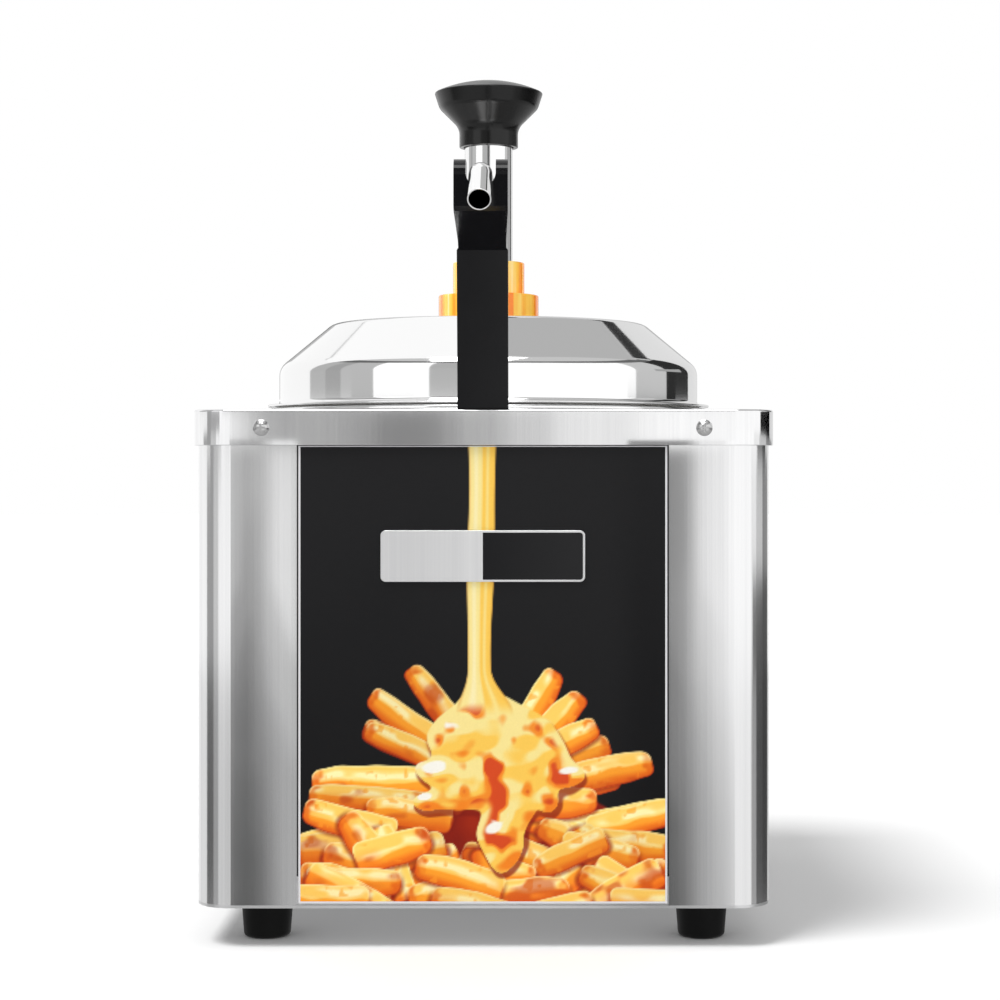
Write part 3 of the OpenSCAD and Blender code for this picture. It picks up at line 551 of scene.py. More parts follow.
def make_feet():
    for name in ("foot_front_left", "foot_front_right", "foot_rear_left", "foot_rear_right"):
        low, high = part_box(name)
        centre = (low + high) / 2
        top_r, bottom_r = (high.x - low.x) / 2, (high.x - low.x) / 2 - 1.5 * MM
        sink_r, sink_h, bore = 7 * MM, 9 * MM, 2.7 * MM
        outline = fillet([
            (sink_r, low.z, 0.5 * MM), (bottom_r, low.z, 2.2 * MM), (top_r, high.z, 0.4 * MM),
            (bore, high.z, 0), (bore, sink_h, 0), (sink_r, sink_h, 0.5 * MM),
        ])
        foot = lathe(name + "_rubber", outline, axis_x=centre.x, axis_y=centre.y)
        soften(stand_for(foot, "base", "rubber", RUBBER, name), 0)


# ---------- spout ----------

def spout_path():
    """Points along the spout's axis: the run, the bend and the mouth."""
    fall, mouth = math.radians(2.8), math.radians(33)
    reach, start_z, length, bend = 188 * MM, 378 * MM, 27.2 * MM, 20 * MM
    run_dir = Vector((0, -math.cos(fall), -math.sin(fall)))
    mouth_dir = Vector((0, -math.cos(mouth), -math.sin(mouth)))
    origin = Vector((0, 0, start_z))
    corner = origin + run_dir * (reach / math.cos(fall))
    tangent = bend * math.tan((mouth - fall) / 2)
    bend_start = corner - run_dir * tangent
    centre = bend_start + Vector((0, -run_dir.z, run_dir.y)) * bend
    points = [origin + run_dir * (12.2 * MM), bend_start]
    spoke = bend_start - centre
    for k in range(1, 13):
        turn = (mouth - fall) * k / 12
        y = spoke.y * math.cos(turn) - spoke.z * math.sin(turn)
        z = spoke.y * math.sin(turn) + spoke.z * math.cos(turn)
        points.append(centre + Vector((0, y, z)))
    points.append(corner + mouth_dir * length)
    return points


def make_spout():
    """A tube along the spout's path, with a rounded lip at the mouth."""
    path = spout_path()
    outer, wall, steps, lip = 5.5 * MM, 0.8 * MM, 64, 0.35 * MM
    side = Vector((1, 0, 0))
    loops = []

    def loop_at(point, direction, radius):
        up = side.cross(direction).normalized()
        return [
            tuple(point + side * (radius * math.cos(a)) + up * (radius * math.sin(a)))
            for a in (2 * math.pi * k / steps for k in range(steps))
        ]

    headings = [(after - before).normalized() for before, after in zip(path, path[2:])]
    headings[0] = (path[1] - path[0]).normalized()
    headings[-1] = (path[-1] - path[-2]).normalized()
    headings = [headings[0], *headings, headings[-1]]
    for point, direction in zip(path[:-1], headings[:-1]):
        loops.append(loop_at(point, direction, outer))
    tip, direction = path[-1], headings[-1]
    for k in range(9):
        a = math.radians(180 * k / 8)
        radius = outer - lip + lip * math.cos(a)
        loops.append(loop_at(tip + direction * (lip * (math.sin(a) - 1)), direction, radius))
    loops.append(loop_at(tip - direction * (2 * lip), direction, outer - wall))
    for point, direction in reversed(list(zip(path[:-1], headings[:-1]))):
        loops.append(loop_at(point, direction, outer - wall))
    spout = loft("spout_pipe", loops)
    soften(stand_for(spout, "lid_unit", "polished_steel", POLISHED, "spout_tube"), 0)


# ---------- the printed picture ----------

def smooth_step(x, low, high):
    """A soft step from 0 at low to 1 at high."""
    t = np.clip((x - low) / (high - low), 0, 1)
    return t * t * (3 - 2 * t)


def value_noise(u, v, cell, seed):
    """Smooth noise from 0 to 1 on a lattice of the given cell size, repeatable by its seed."""
    table = np.random.default_rng(seed).random((64, 64))
    x, y = u / cell + 31.5, v / cell + 17.25
    i, j = np.floor(x).astype(int), np.floor(y).astype(int)
    fx, fy = x - i, y - j
    fx, fy = fx * fx * (3 - 2 * fx), fy * fy * (3 - 2 * fy)
    i, j = i % 63, j % 63
    low = table[i, j] * (1 - fx) + table[i + 1, j] * fx
    high = table[i, j + 1] * (1 - fx) + table[i + 1, j + 1] * fx
    return low * (1 - fy) + high * fy


def laid(below, mask, color):
    """A colour, or a field of colours, laid over another where the mask is set."""
    return below * (1 - mask[..., None]) + np.asarray(color) * mask[..., None]


GROUND_TOP, GROUND_LOW = (0.13, 0.13, 0.135), (0.095, 0.095, 0.10)
FRY_PALE, FRY_YELLOW, FRY_GOLD = (1.0, 0.93, 0.68), (1.0, 0.80, 0.38), (0.98, 0.62, 0.17)
FRY_DEEP, FRY_RED, GAP_RED = (0.88, 0.38, 0.09), (0.70, 0.20, 0.08), (0.50, 0.11, 0.07)
CHEESE_PALE, CHEESE_MID = (0.97, 0.89, 0.58), (0.98, 0.79, 0.34)
CHEESE_AMBER, CHEESE_RED = (0.95, 0.52, 0.14), (0.82, 0.25, 0.12)


def paint_fry(picture, u, v, tip, angle, length, width, seed):
    """One chip: a square stick with a pale upper face, a gold lower one and a browned tip.
    It runs back from its tip, and angle is the way the tip points."""
    rng = np.random.default_rng(seed)
    bow, ridge, tone = rng.uniform(-0.0025, 0.0025), rng.uniform(-0.25, 0.25), rng.uniform(-0.06, 0.06)
    ca, sa = math.cos(angle), math.sin(angle)
    reach = length + width
    rows = np.flatnonzero(np.abs(v[:, 0] - tip[1]) < reach)
    cols = np.flatnonzero(np.abs(u[0] - tip[0]) < reach)
    if not len(rows) or not len(cols):
        return
    window = np.s_[rows[0]:rows[-1] + 1, cols[0]:cols[-1] + 1]
    u, v, below = u[window], v[window], picture[window]
    du, dv = u - tip[0], v - tip[1]
    back = -(du * ca + dv * sa)
    across = -du * sa + dv * ca + bow * (back - length / 2) ** 2
    up = across if ca >= 0 else -across
    taper = 0.80 + 0.20 * smooth_step(back, 0, width)
    half = width / 2 * taper + 0.9 * (value_noise(back, up, 9, seed) - 0.5)
    corner = width * 0.26
    qx = np.abs(back - length / 2) - (length / 2 - corner)
    qy = np.abs(across) - (half - corner)
    distance = np.hypot(np.maximum(qx, 0), np.maximum(qy, 0)) + np.minimum(np.maximum(qx, qy), 0) - corner
    mask = smooth_step(-distance, -0.3, 0.3)
    share = up / half
    crumb = value_noise(u, v, 2.4, seed + 1)
    patch = value_noise(back, up * 1.6, 7, seed + 3)
    edge = ridge + 0.35 * (value_noise(back, up * 0, 8, seed + 4) - 0.5)
    color = np.broadcast_to(np.array(FRY_GOLD), (*u.shape, 3))
    color = laid(color, smooth_step(share, edge - 0.10, edge + 0.06), FRY_YELLOW)
    pale = np.exp(-((share - edge - 0.38) / 0.26) ** 2) * smooth_step(patch, 0.2, 0.6)
    color = laid(color, np.clip(1.3 * pale, 0, 1), FRY_PALE)
    color = laid(color, smooth_step(-share, 0.25 - edge * 0.5, 0.85) * 0.85, FRY_DEEP)
    color = laid(color, smooth_step(crumb * patch, 0.42, 0.62) * 0.6, FRY_GOLD)
    browned = smooth_step(5.5 - back + 3 * (crumb - 0.5), 0, 3.5) * (0.35 + 0.5 * crumb)
    color = laid(color, np.clip(browned, 0, 1), FRY_DEEP)
    warmth = smooth_step(value_noise(u, v, 16, seed + 6) - v / 260, 0.05, 0.45) * rng.uniform(0.1, 0.6)
    color = laid(color, warmth * smooth_step(-share, -0.7, 0.5), FRY_DEEP)
    color = laid(color, smooth_step(warmth * patch, 0.22, 0.42) * 0.5, FRY_RED)
    rim = smooth_step(distance, -1.2, 0.0) * smooth_step(-share, -0.5, 0.4)
    color = laid(color, np.clip(rim, 0, 1) * 0.9, FRY_RED)
    glow = smooth_step(distance, -1.3, -0.2) * smooth_step(share, 0.0, 0.7) * 0.7
    color = laid(color, glow, FRY_PALE)
    color = np.clip(color * (1 + tone), 0, 1)
    shadow = smooth_step(2.6 - distance, 0, 2.6) * smooth_step(-share, -0.9, 0.4) * 0.6 * (1 - mask)
    shaded = laid(below, shadow * smooth_step(below[..., 0], 0.25, 0.5), GAP_RED)
    picture[window] = laid(shaded, mask, color)


def paint_fan(picture, u, v, centre, angles, reach, width, seed, length=60.0):
    """Chips that point outward from a centre, each with a little play."""
    rng = np.random.default_rng(seed)
    for k in rng.permutation(len(angles)):
        angle = math.radians(angles[k] + rng.uniform(-3, 3))
        out = reach * rng.uniform(0.93, 1.05)
        tip = (centre[0] + out * math.cos(angle), centre[1] + out * math.sin(angle))
        tilt = angle + rng.uniform(-0.16, 0.16)
        paint_fry(picture, u, v, tip, tilt, length, width * rng.uniform(0.9, 1.12), seed * 50 + k)


def paint_pile(picture, u, v):
    """A heap of chips: fans behind, then rows that lie flatter towards the front."""
    wide = np.interp(v, [20, 44, 62, 80, 98, 114], [104, 96, 72, 38, 24, -6])
    heap = smooth_step(wide - np.abs(u), -2, 2)
    ember = value_noise(u, v, 9, 3)
    gaps = np.broadcast_to(np.array(GAP_RED), picture.shape)
    picture[:] = laid(picture, heap, laid(gaps, ember * 0.6, FRY_RED))
    paint_fan(picture, u, v, (0, 80), [20, 42, 58, 124, 142, 158], 66, 13.5, 2)
    paint_fan(picture, u, v, (-2, 76), [2, 30, 150, 174], 66, 13, 3)
    paint_fan(picture, u, v, (0, 68), [-8, 14, 168, 184], 86, 14, 4)
    paint_fan(picture, u, v, (4, 62), [-26, -12, 4, 172, 190, 206], 90, 13.5, 5)
    paint_fan(picture, u, v, (0, 62), [-44, -28, -8, 8, 172, 186, 202, 218], 60, 14, 6, length=42)
    paint_fan(picture, u, v, (0, 44), [-14, 0, 12, 168, 178, 196], 96, 14.5, 7, length=46)
    paint_fan(picture, u, v, (50, 46), [-128, -58, -8, 150, 196], 26, 14, 8, length=38)
    paint_fan(picture, u, v, (-50, 44), [-58, 22, 128, 172, 214], 26, 15, 9, length=38)
    paint_fan(picture, u, v, (0, 42), [-84, -48, -20, 204, 232, 262], 28, 14, 10, length=34)
    paint_fan(picture, u, v, (70, 30), [-150, -30, 24, 165], 24, 14, 12, length=42)
    paint_fan(picture, u, v, (-66, 28), [-28, 8, 160, 206], 26, 15, 13, length=46)
    paint_fan(picture, u, v, (4, 26), [-22, 4, 158, 184, 206], 40, 15, 14, length=44)
    paint_fan(picture, u, v, (0, 20), [-2, 4, 176, 184], 98, 14, 15, length=40)
    paint_fan(picture, u, v, (12, 18), [10, 168], 40, 14, 16, length=40)


def cheese_depth(u, v):
    """How thick the melted cheese lies: a heap under the stream, and runs between the chips."""
    blobs = [
        (0, 114, 17, 12), (-15, 104, 13, 9), (20, 104, 15, 11), (-2, 94, 18, 12), (28, 90, 14, 11),
        (41, 83, 8, 6), (-22, 86, 10, 6), (12, 82, 11, 12), (-10, 74, 14, 7), (15, 66, 9, 13),
        (6, 56, 10, 9), (9, 45, 7, 8), (-27, 70, 6, 4), (32, 72, 5, 6),
    ]
    return sum(np.exp(-(((u - cu) / ru) ** 2 + ((v - cv) / rv) ** 2)) for cu, cv, ru, rv in blobs)


def paint_cheese(picture, u, v):
    """Melted cheese with light and dark pools, and its shadow on the chips."""
    sway = 3.0 * (value_noise(u, v, 10, 5) - 0.5)
    depth = cheese_depth(u + sway, v - sway)
    mask = smooth_step(depth, 0.42, 0.47)
    swell = 1.6 * depth + 1.9 * value_noise(u, v, 14, 8) + 0.8 * value_noise(u, v, 7, 9)
    rise = np.gradient(swell, v[:, 0], u[0], axis=(0, 1))
    light = 0.58 + 1.5 * (0.5 * rise[1] - rise[0])
    shade = np.broadcast_to(np.array(CHEESE_AMBER), picture.shape)
    color = laid(shade, smooth_step(light, 0.22, 0.42), CHEESE_MID)
    color = laid(color, smooth_step(light, 0.52, 0.66), CHEESE_PALE)
    thin = 0.55 * value_noise(u, v, 11, 23) + 0.45 * value_noise(u, v, 6, 24)
    pool = smooth_step(depth, 0.62, 0.95)
    thin = thin + 0.14 * np.exp(-(((u + 10) / 16) ** 2) - ((v - 86) / 17) ** 2)
    color = laid(color, smooth_step(thin, 0.53, 0.63) * pool * 0.9, CHEESE_AMBER)
    color = laid(color, smooth_step(thin, 0.65, 0.72) * pool * 0.85, CHEESE_RED)
    glint = smooth_step(light, 0.84, 0.95) * smooth_step(value_noise(u, v, 6, 31), 0.4, 0.6)
    color = laid(color, glint, (0.97, 0.96, 0.92))
    shadow = smooth_step(cheese_depth(u - 1.0 + sway, v + 2.6 - sway), 0.32, 0.46) * 0.7 * (1 - mask)
    picture[:] = laid(laid(picture, shadow * smooth_step(picture[..., 0], 0.25, 0.5), GAP_RED), mask, color)


def paint_stream(picture, u, v):
    """The falling ribbon of cheese, which widens where it lands."""
    centre = -1.0 + 0.7 * np.sin(v / 30) + 2.4 * smooth_step(136 - v, 0, 22)
    half = 6.8 - 0.8 * smooth_step(240 - v, 0, 80) + 0.5 * np.sin(v / 13)
    half = half + 7.5 * smooth_step(138 - v, 0, 24) ** 1.5
    share = (u - centre) / half
    mask = smooth_step(1 - np.abs(share), -0.04, 0.06) * smooth_step(v, 112, 120)
    shade = np.broadcast_to(np.array(CHEESE_MID), picture.shape)
    color = laid(shade, smooth_step(0.1 - share, 0, 0.15), CHEESE_PALE)
    color = laid(color, np.exp(-((share - 0.42) / 0.12) ** 2) * 0.8, CHEESE_PALE)
    color = laid(color, smooth_step(np.abs(share), 0.82, 1.0) * 0.55, (0.88, 0.62, 0.26))
    color = laid(color, np.exp(-((share + 0.45) / 0.16) ** 2) * 0.7, (0.98, 0.94, 0.76))
    picture[:] = laid(picture, mask, color)


def paint_print(u, v):
    """The panel's picture as sRGB, for points (u, v) in millimetres across and above the table."""
    rise = smooth_step(v, 60, 240)
    picture = laid(np.broadcast_to(np.array(GROUND_LOW), (*u.shape, 3)), rise, GROUND_TOP)
    paint_pile(picture, u, v)
    paint_cheese(picture, u, v)
    paint_stream(picture, u, v)
    return picture


PRINT_PITCH = 0.66
PRINT_BORDER = 0.95
PRINT_BORDER_TOP = 0.45
PANEL_BORDER = (0.86, 0.86, 0.87)


def border_lines(low, high, last=PRINT_BORDER):
    """Grid lines from low to high in millimetres, with a pair just at the border's inner edge."""
    inner = np.linspace(low + PRINT_BORDER + 0.04, high - last - 0.04, int((high - low) / PRINT_PITCH))
    return np.concatenate([[low, low + PRINT_BORDER], inner, [high - last, high]])


def make_print():
    """The front panel: a thin slab whose face is a fine grid that carries the print's colours."""
    low, high = PANEL_LOW / MM, PANEL_HIGH / MM
    across, up = border_lines(low.x, high.x), border_lines(low.z, high.z, PRINT_BORDER_TOP)
    u, v = np.meshgrid(across, up)
    rows, cols = u.shape
    face = np.stack([u, np.full_like(u, low.y), v], axis=-1).reshape(-1, 3)
    edge = list(range(cols)) + [i * cols + cols - 1 for i in range(1, rows)]
    edge += [(rows - 1) * cols + j for j in range(cols - 2, -1, -1)]
    edge += [i * cols for i in range(rows - 2, 0, -1)]
    back = face[edge] + [0, high.y - low.y, 0]
    start = rows * cols
    cells = [
        (i * cols + j, i * cols + j + 1, (i + 1) * cols + j + 1, (i + 1) * cols + j)
        for i in range(rows - 1) for j in range(cols - 1)
    ]
    count = len(edge)
    cells += [(edge[k], start + k, start + (k + 1) % count, edge[(k + 1) % count]) for k in range(count)]
    cells.append(tuple(range(start, start + count)))
    panel = mesh_piece("printed_panel", np.vstack([face, back]) * MM, cells, smooth=False)

    picture = paint_print(u, v)
    on_border = (u <= low.x + PRINT_BORDER) | (u >= high.x - PRINT_BORDER)
    on_border |= (v <= low.z + PRINT_BORDER) | (v >= high.z - PRINT_BORDER_TOP)
    picture[on_border] = PANEL_BORDER
    colors = np.ones((start + count, 4), dtype=np.float32)
    colors[:, :3] = PANEL_BORDER
    colors[:start, :3] = picture.reshape(-1, 3)
    linear = np.where(colors <= 0.04045, colors / 12.92, ((colors + 0.055) / 1.055) ** 2.4)
    linear[:, 3] = 1
    layer = panel.data.color_attributes.new("print", "FLOAT_COLOR", "POINT")
    layer.data.foreach_set("color", linear.ravel())
    stand_for(panel, "base", "printed_panel", print_material(), "front_panel")


def print_material():
    """Glossy film over the print, with a fine ink grain and a slight waviness."""
    material, tree, shader, coords = new_material("printed_film", (0.5, 0.5, 0.5), roughness=0.2)
    ink = tree.nodes.new("ShaderNodeVertexColor")
    ink.layer_name = "print"
    grain = noise(tree, coords, 900, (1, 1, 1), detail=2)
    tint = tree.nodes.new("ShaderNodeMix")
    tint.data_type = "RGBA"
    tint.blend_type = "MULTIPLY"
    tint.inputs["Factor"].default_value = 0.25
    tree.links.new(ink.outputs["Color"], tint.inputs["A"])
    tree.links.new(ramp(tree, grain, [(0.35, (0.9, 0.9, 0.9)), (0.65, (1, 1, 1))]), tint.inputs["B"])
    tree.links.new(tint.outputs["Result"], shader.inputs["Base Color"])
    tree.links.new(ranged(tree, noise(tree, coords, 12), 0.16, 0.26), shader.inputs["Roughness"])
    shader.inputs["Specular IOR Level"].default_value = 0.1
    bump(tree, shader, noise(tree, coords, 25, (1, 1, 1), detail=2), 0.02, 0.2 * MM)
    return material


def make_badge():
    """A blank two-tone plate: a bright frame and left half, and a black field on the right."""
    low, high = BADGE_LOW, BADGE_HIGH
    corner, rim = 2.6 * MM, 1.1 * MM
    outline = fillet([(low.x, low.z, corner), (high.x, low.z, corner), (high.x, high.z, corner),
                      (low.x, high.z, corner)], 8)
    plate = prism("badge_frame", outline, low.y, high.y, plane="XZ")
    stand_for(plate, "base", "badge", BADGE_STEEL, "badge_plate")
    soften(plate, 0.35 * MM)
    split = (low.x + high.x) / 2
    inner = corner - rim
    field_outline = fillet([(split, low.z + rim, 0), (high.x - rim, low.z + rim, inner),
                            (high.x - rim, high.z - rim, inner), (split, high.z - rim, 0)], 8)
    field = prism("badge_field", field_outline, low.y - 0.08 * MM, low.y + 0.3 * MM, plane="XZ")
    stand_for(field, "base", "badge", BLACK_GLOSS)
    soften(field, 0.05 * MM)


def make_pot():
    """The lift-out pot: a thin wall, a rounded floor and a beaded flange under the lid."""
    low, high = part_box("food_pot")
    bead = 1.5 * MM
    flange_r = high.x - bead
    flange_z = high.z - 2 * bead
    wall_r, wall_t, flange_t, floor_round = 104 * MM, 1 * MM, 1.2 * MM, 10 * MM
    centre = (wall_r - floor_round, low.z + floor_round)
    outline = [(0, low.z)] + arc_points(*centre, floor_round, 270, 360, 10)
    outline += [(wall_r, flange_z), (flange_r - bead * 0.9, flange_z)]
    # The bead's arc ends where it comes down to the flange's top.
    bead_end = 540 + math.degrees(math.asin((bead - flange_t) / bead))
    outline += arc_points(flange_r, flange_z + bead, bead, 220, bead_end, 20)
    outline += [(wall_r - wall_t, flange_z + flange_t)]
    outline += arc_points(*centre, floor_round - wall_t, 360, 270, 10) + [(0, low.z + wall_t)]
    pot = lathe("pot_vessel", outline, steps=256)
    soften(stand_for(pot, "pot", "stainless", POLISHED, "food_pot"), 0)


# ---------- all pieces and the looks of the CAD nodes ----------

make_deck()
make_lid()
make_knob()
make_amber_rings()
make_column()
make_feet()
make_spout()
make_pot()
make_print()
make_badge()

dress(SHEET, "body_shell")
dress(BLACK_GLOSS, "spout_arm")
soften(NODES["spout_arm"], 0.9 * MM)
dress(PLAIN_STEEL, "bottom_tray", "water_well", "plunger_rod", "clamp_nut", "valve_cage",
      "thermostat_shaft")
dress(POLISHED, "spout_nut", "pump_cylinder")
dress(SCREW_STEEL, "deck_screws", "deck_nuts", "foot_screws", "well_nuts", "element_clamps", "inlet_screws",
      "arm_screws", "piston_nut", "plunger_spring", "check_ball")
# Painted shade: the panel backing is black so that the narrow gaps beside the print read dark, as shadowed
# grooves would.
dress(BLACK_PLASTIC, "panel_backing", "control_plate", "switch_housing", "power_inlet", "thermostat_dial")
dress(RUBBER, "well_gasket", "arm_gasket", "piston_ring")
dress(WHITE_POLYMER, "column_cap", "valve_seat", "piston", "lid_seal", "terminal_block")
dress(SHEATH, "heating_element")
dress(WOOL, "insulation_jacket")
dress(CERAMIC, "thermostat_body", "thermal_cutout")
dress(COPPER, "thermostat_bulb")
dress(BRASS, "inlet_pins", "knob_insert", "earth_stud")
dress(WIRE_RED, "internal_wiring")
dress(LAMP_LENS, "indicator_lamp")
dress(ROCKER_RED, "power_rocker")


# ---------- camera, floor and light ----------

CAMERA_AT = (0.0245, -1.204, 0.235)
CAMERA_LENS = 79.2
CAMERA_SHIFT = (-0.0335, -0.037)
FRONT_FACE = -0.1422

# Walls all round, from the top tier down: name, lower and upper edge, and bands. The first band
# starts straight behind, at azimuth -180, and each is the azimuth where it ends and its brightness.
WALL_TIERS = [
    ("upper", 0.355, 2.56, [
        (-176, 0.5), (-168, 0.08), (-163, 0.5), (-110, 1.05), (-96, 0.5), (-84, 0.4), (-62, 0.55),
        (-30, 1.25), (8, 0.48), (86, 1.18), (112, 0.62), (140, 0.03), (168, 0.8), (180, 0.5),
    ]),
    ("rim", 0.25, 0.355, [
        (-76, 1.1), (-38, 0.4), (-9.5, 1.2), (80, 1.18), (122, 0.0), (180, 0.8),
    ]),
    ("side", -0.14, 0.25, [
        (-90, 1.1), (-64, 0.4), (-48, 0.7), (-9, 1.15), (0, 0.57), (58, 1.2), (76, 1.0),
        (104, 0.68), (140, 0.3), (180, 0.9),
    ]),
    ("low", -0.6, -0.14, [
        (-128, 0.98), (-90, 0.85), (-64, 0.14), (-48, 0.38), (-25, 0.72), (-9, 0.66), (0, 0.4),
        (58, 1.02), (76, 0.4), (104, 0.08), (140, 0.06), (180, 0.6),
    ]),
    ("ground", -1.8, -0.6, [(0, 0.75), (60, 0.9), (180, 0.62)]),
]

# Walls of their own: name, the two azimuths, lower and upper edge, brightness and distance.
LONE_WALLS = [
    ("dark_edge", 62, 140, -0.14, 0.03, 0.1, 2.95),
    ("arm_glow", -5, 4, 0.37, 0.46, 1.6, 2.9),
    ("arm_dark", -5, 4, 0.46, 1.2, 0.12, 2.9),
    ("lid_streak", 138, 160, 2.56, 3.1, 0.04, 3.0),
    ("lid_shoulder", -130, 130, 2.56, 3.4, 0.15, 3.0),
    ("column_glow", 102, 130, 0.52, 0.9, 0.4, 2.9),
    ("knob_glow", 166, 194, 1.15, 2.56, 0.7, 2.95),
]

# The wall that the flat fronts mirror: the azimuth where each strip ends, and its brightness.
FRONT_WALL_START = -9.5
FRONT_WALLS = [(-5.2, 0.46), (-2.4, 0.28), (-0.5, 0.5), (1.2, 0.72), (4.2, 0.96), (8, 1.15)]

WORLD_LIGHT = 0.62
KEY_LIGHT = 2.0
KEY_SPREAD = 24
FLOOR_TONE = 0.93

FACE_CARDS_AT = 0.33
FACE_CARD_STEP = 0.0015
CARD_LOW, CARD_TOP = -10, 242


def upright(left, right):
    """The outline of a strip over the whole height of the face cards."""
    return [(left, CARD_LOW), (right, CARD_LOW), (right, CARD_TOP), (left, CARD_TOP)]


# Light and dark cards for the bare steel beside the print: brightness, then an outline in
# millimetres across and up the front face. Later cards stand nearer to it and cover earlier ones.
FRONT_CARDS = [
    (0.57, upright(-126, -118)),
    (0.44, upright(-118, -106)),
    (0.74, upright(-106, -102)),
    (1.00, upright(-102, -90)),
    (0.66, [(-107, -10), (-90, -10), (-90, 135), (-104, 185)]),
    (0.50, [(-105, -10), (-90, -10), (-90, 85), (-103, 125)]),
    (0.36, [(-126, -10), (-97, -10), (-101, 90), (-106, 150), (-112, 225), (-118, 180), (-126, 150)]),
    (0.22, [(-126, -10), (-102, -10), (-104, 60), (-108, 110), (-112, 165), (-126, 115)]),
    (0.11, [(-124, -10), (-107, -10), (-108, 50), (-111, 90), (-114, 140), (-120, 105), (-124, 70)]),
    (0.30, upright(70, 99)),
    (0.50, upright(99, 102)),
    (0.76, upright(102, 105)),
    (1.00, upright(105, 118)),
    (1.20, upright(118, 127)),
    (0.85, [(102, -10), (126, -10), (124, 60), (121, 110), (116, 150), (106, 175)]),
    (0.70, [(102, -10), (123, -10), (122, 60), (117, 100), (108, 135), (104, 160)]),
    (0.54, [(101, -10), (119, -10), (115, 60), (108, 100), (104, 140)]),
    (0.38, [(100, -10), (108, -10), (106, 60), (103, 110), (101, 150)]),
    (0.22, [(70, -10), (102, -10), (101, 60), (98, 125), (70, 200)]),
    (0.13, [(70, -10), (98, -10), (96, 60), (70, 130)]),
]


def look_at(obj, target):
    obj.rotation_euler = (Vector(target) - obj.location).to_track_quat("-Z", "Y").to_euler()


def make_camera():
    data = bpy.data.cameras.new("camera")
    data.sensor_width = 36
    data.lens = CAMERA_LENS
    data.shift_x, data.shift_y = CAMERA_SHIFT
    camera = bpy.data.objects.new("camera", data)
    bpy.context.scene.collection.objects.link(camera)
    camera.location = CAMERA_AT
    camera.rotation_euler = (math.radians(90), 0, 0)
    bpy.context.scene.camera = camera


def reflection_card(name, points, faces, brightness):
    """A card that only reflections see: bright ones glow and dark ones don't."""
    piece = mesh_piece(name, points, faces, smooth=False)
    glow_only(piece, brightness)
    piece.visible_camera = piece.visible_diffuse = piece.visible_shadow = False
    return piece


def wall_card(name, start, end, low, high, brightness, distance=3.0):
    """A curved wall between two azimuths around the object."""
    steps = max(2, int(abs(end - start) / 4))
    angles = np.linspace(start, end, steps + 1)
    points = [around(a, distance, z) for z in (low, high) for a in angles]
    faces = [(k, k + 1, steps + 2 + k, steps + 1 + k) for k in range(steps)]
    reflection_card(name, points, faces, brightness)


def ring_of_walls(name, low, high, bands):
    """Walls all round, side by side from behind: each band has its last azimuth and its brightness."""
    start = -180
    for k, (end, brightness) in enumerate(bands):
        wall_card(f"{name}_{k}", start, end, low, high, brightness)
        start = end


def face_card(name, outline, brightness, distance):
    """A card in front of the cabinet, laid out where the camera sees it mirrored on the front face."""
    points = []
    for x, z in outline:
        place = Vector((x * MM, FRONT_FACE, z * MM))
        ray = place - Vector(CAMERA_AT)
        reach = (distance + FRONT_FACE) / ray.y
        points.append((place.x + ray.x * reach, -distance, place.z + ray.z * reach))
    reflection_card(name, points, [tuple(range(len(points)))], brightness)


def ceiling_card(name, azimuth, elevations, width, brightness, distance=2.6):
    """A flat strip overhead that runs from one elevation to another at an azimuth."""
    start, end = (math.radians(e) for e in elevations)
    side = Vector(around(azimuth + 90, width / 2, 0))
    points = []
    for e in (start, end):
        middle = Vector(around(azimuth, distance * math.cos(e), 0.3 + distance * math.sin(e)))
        points += [middle - side, middle + side]
    reflection_card(name, points, [(0, 1, 3, 2)], brightness)


def glow_only(piece, brightness):
    """Makes a stage piece that only gives light."""
    material = bpy.data.materials.new(piece.name)
    material.use_nodes = True
    tree = material.node_tree
    tree.nodes.clear()
    glow = tree.nodes.new("ShaderNodeEmission")
    glow.inputs["Color"].default_value = (1, 1, 1, 1)
    glow.inputs["Strength"].default_value = brightness
    out = tree.nodes.new("ShaderNodeOutputMaterial")
    tree.links.new(glow.outputs["Emission"], out.inputs["Surface"])
    piece.data.materials.append(material)


def make_backdrop():
    """A white dome that only the camera sees, so that the background has no horizon."""
    radius, rows, cols = 9.0, 12, 32
    points = [
        (radius * math.cos(e) * math.cos(a), radius * math.cos(e) * math.sin(a), radius * math.sin(e))
        for e in np.linspace(-0.3, math.pi / 2, rows)
        for a in np.linspace(0, 2 * math.pi, cols, endpoint=False)
    ]
    faces = [
        (i * cols + k, i * cols + (k + 1) % cols, (i + 1) * cols + (k + 1) % cols, (i + 1) * cols + k)
        for i in range(rows - 1) for k in range(cols)
    ]
    dome = mesh_piece("backdrop", points, faces)
    glow_only(dome, 1.0)
    dome.visible_diffuse = dome.visible_glossy = dome.visible_shadow = dome.visible_transmission = False


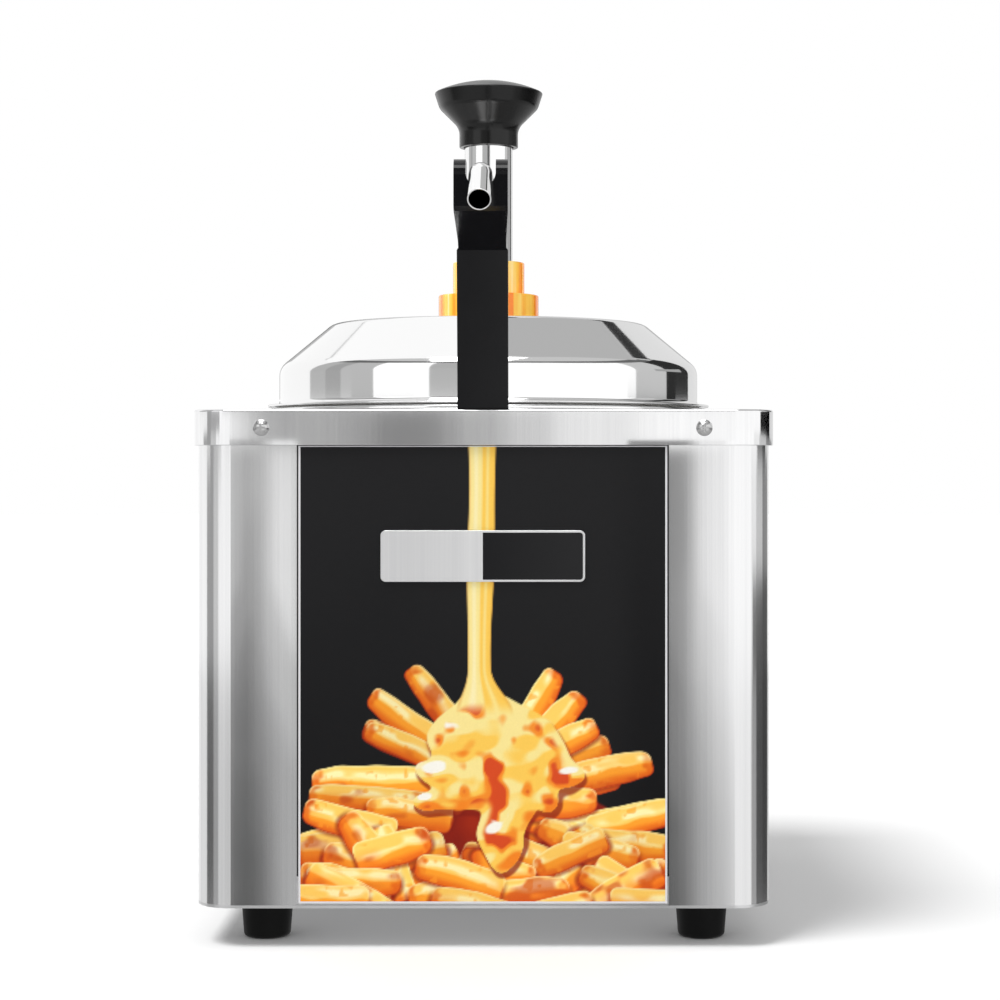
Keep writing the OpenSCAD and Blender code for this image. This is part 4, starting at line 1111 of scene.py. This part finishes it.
def around(azimuth, distance, height):
    """A place at an azimuth in degrees, 0 in front of the object and positive to its right."""
    a = math.radians(azimuth)
    return (distance * math.sin(a), -distance * math.cos(a), height)


def make_stage():
    """The floor, the backdrop, the light and all reflection cards."""
    floor = prism("floor", [(-9, -9), (9, -9), (9, 9), (-9, 9)], -0.01, 0.0)
    paper = bpy.data.materials.new("floor_paper")
    paper.use_nodes = True
    tree = paper.node_tree
    matt = tree.nodes.new("ShaderNodeBsdfDiffuse")
    matt.inputs["Color"].default_value = (FLOOR_TONE, FLOOR_TONE, FLOOR_TONE, 1)
    tree.links.new(matt.outputs["BSDF"], tree.nodes["Material Output"].inputs["Surface"])
    tree.nodes.remove(tree.nodes["Principled BSDF"])
    floor.data.materials.append(paper)
    floor.data.shade_flat()
    floor.visible_glossy = False
    make_backdrop()
    world = bpy.data.worlds.new("studio")
    world.use_nodes = True
    world.node_tree.nodes["Background"].inputs["Color"].default_value = (1, 1, 1, 1)
    world.node_tree.nodes["Background"].inputs["Strength"].default_value = WORLD_LIGHT
    bpy.context.scene.world = world

    sun = bpy.data.lights.new("key", "SUN")
    sun.energy = KEY_LIGHT
    sun.angle = math.radians(KEY_SPREAD)
    lamp = bpy.data.objects.new("key", sun)
    bpy.context.scene.collection.objects.link(lamp)
    lamp.location = (-1.2, -1.0, 3.0)
    look_at(lamp, (0, 0, 0))
    lamp.visible_glossy = False

    for tier in WALL_TIERS:
        ring_of_walls(*tier)
    for wall in LONE_WALLS:
        wall_card(*wall)
    start = FRONT_WALL_START
    for k, (end, brightness) in enumerate(FRONT_WALLS):
        wall_card(f"front_wall_{k}", start, end, -0.14, 0.38, brightness, distance=2.95)
        start = end
    for k, (brightness, outline) in enumerate(FRONT_CARDS):
        face_card(f"front_{k}", outline, brightness, FACE_CARDS_AT - FACE_CARD_STEP * k)
    ceiling_card("ceiling_left", -143, (38, 88), 2.6, 1.1)
    ceiling_card("ceiling_right", 140, (44, 86), 1.4, 0.5)
    ceiling_card("ceiling_front", -12, (45, 80), 1.5, 5)


make_camera()
make_stage()
bpy.context.scene.view_settings.view_transform = "Standard"
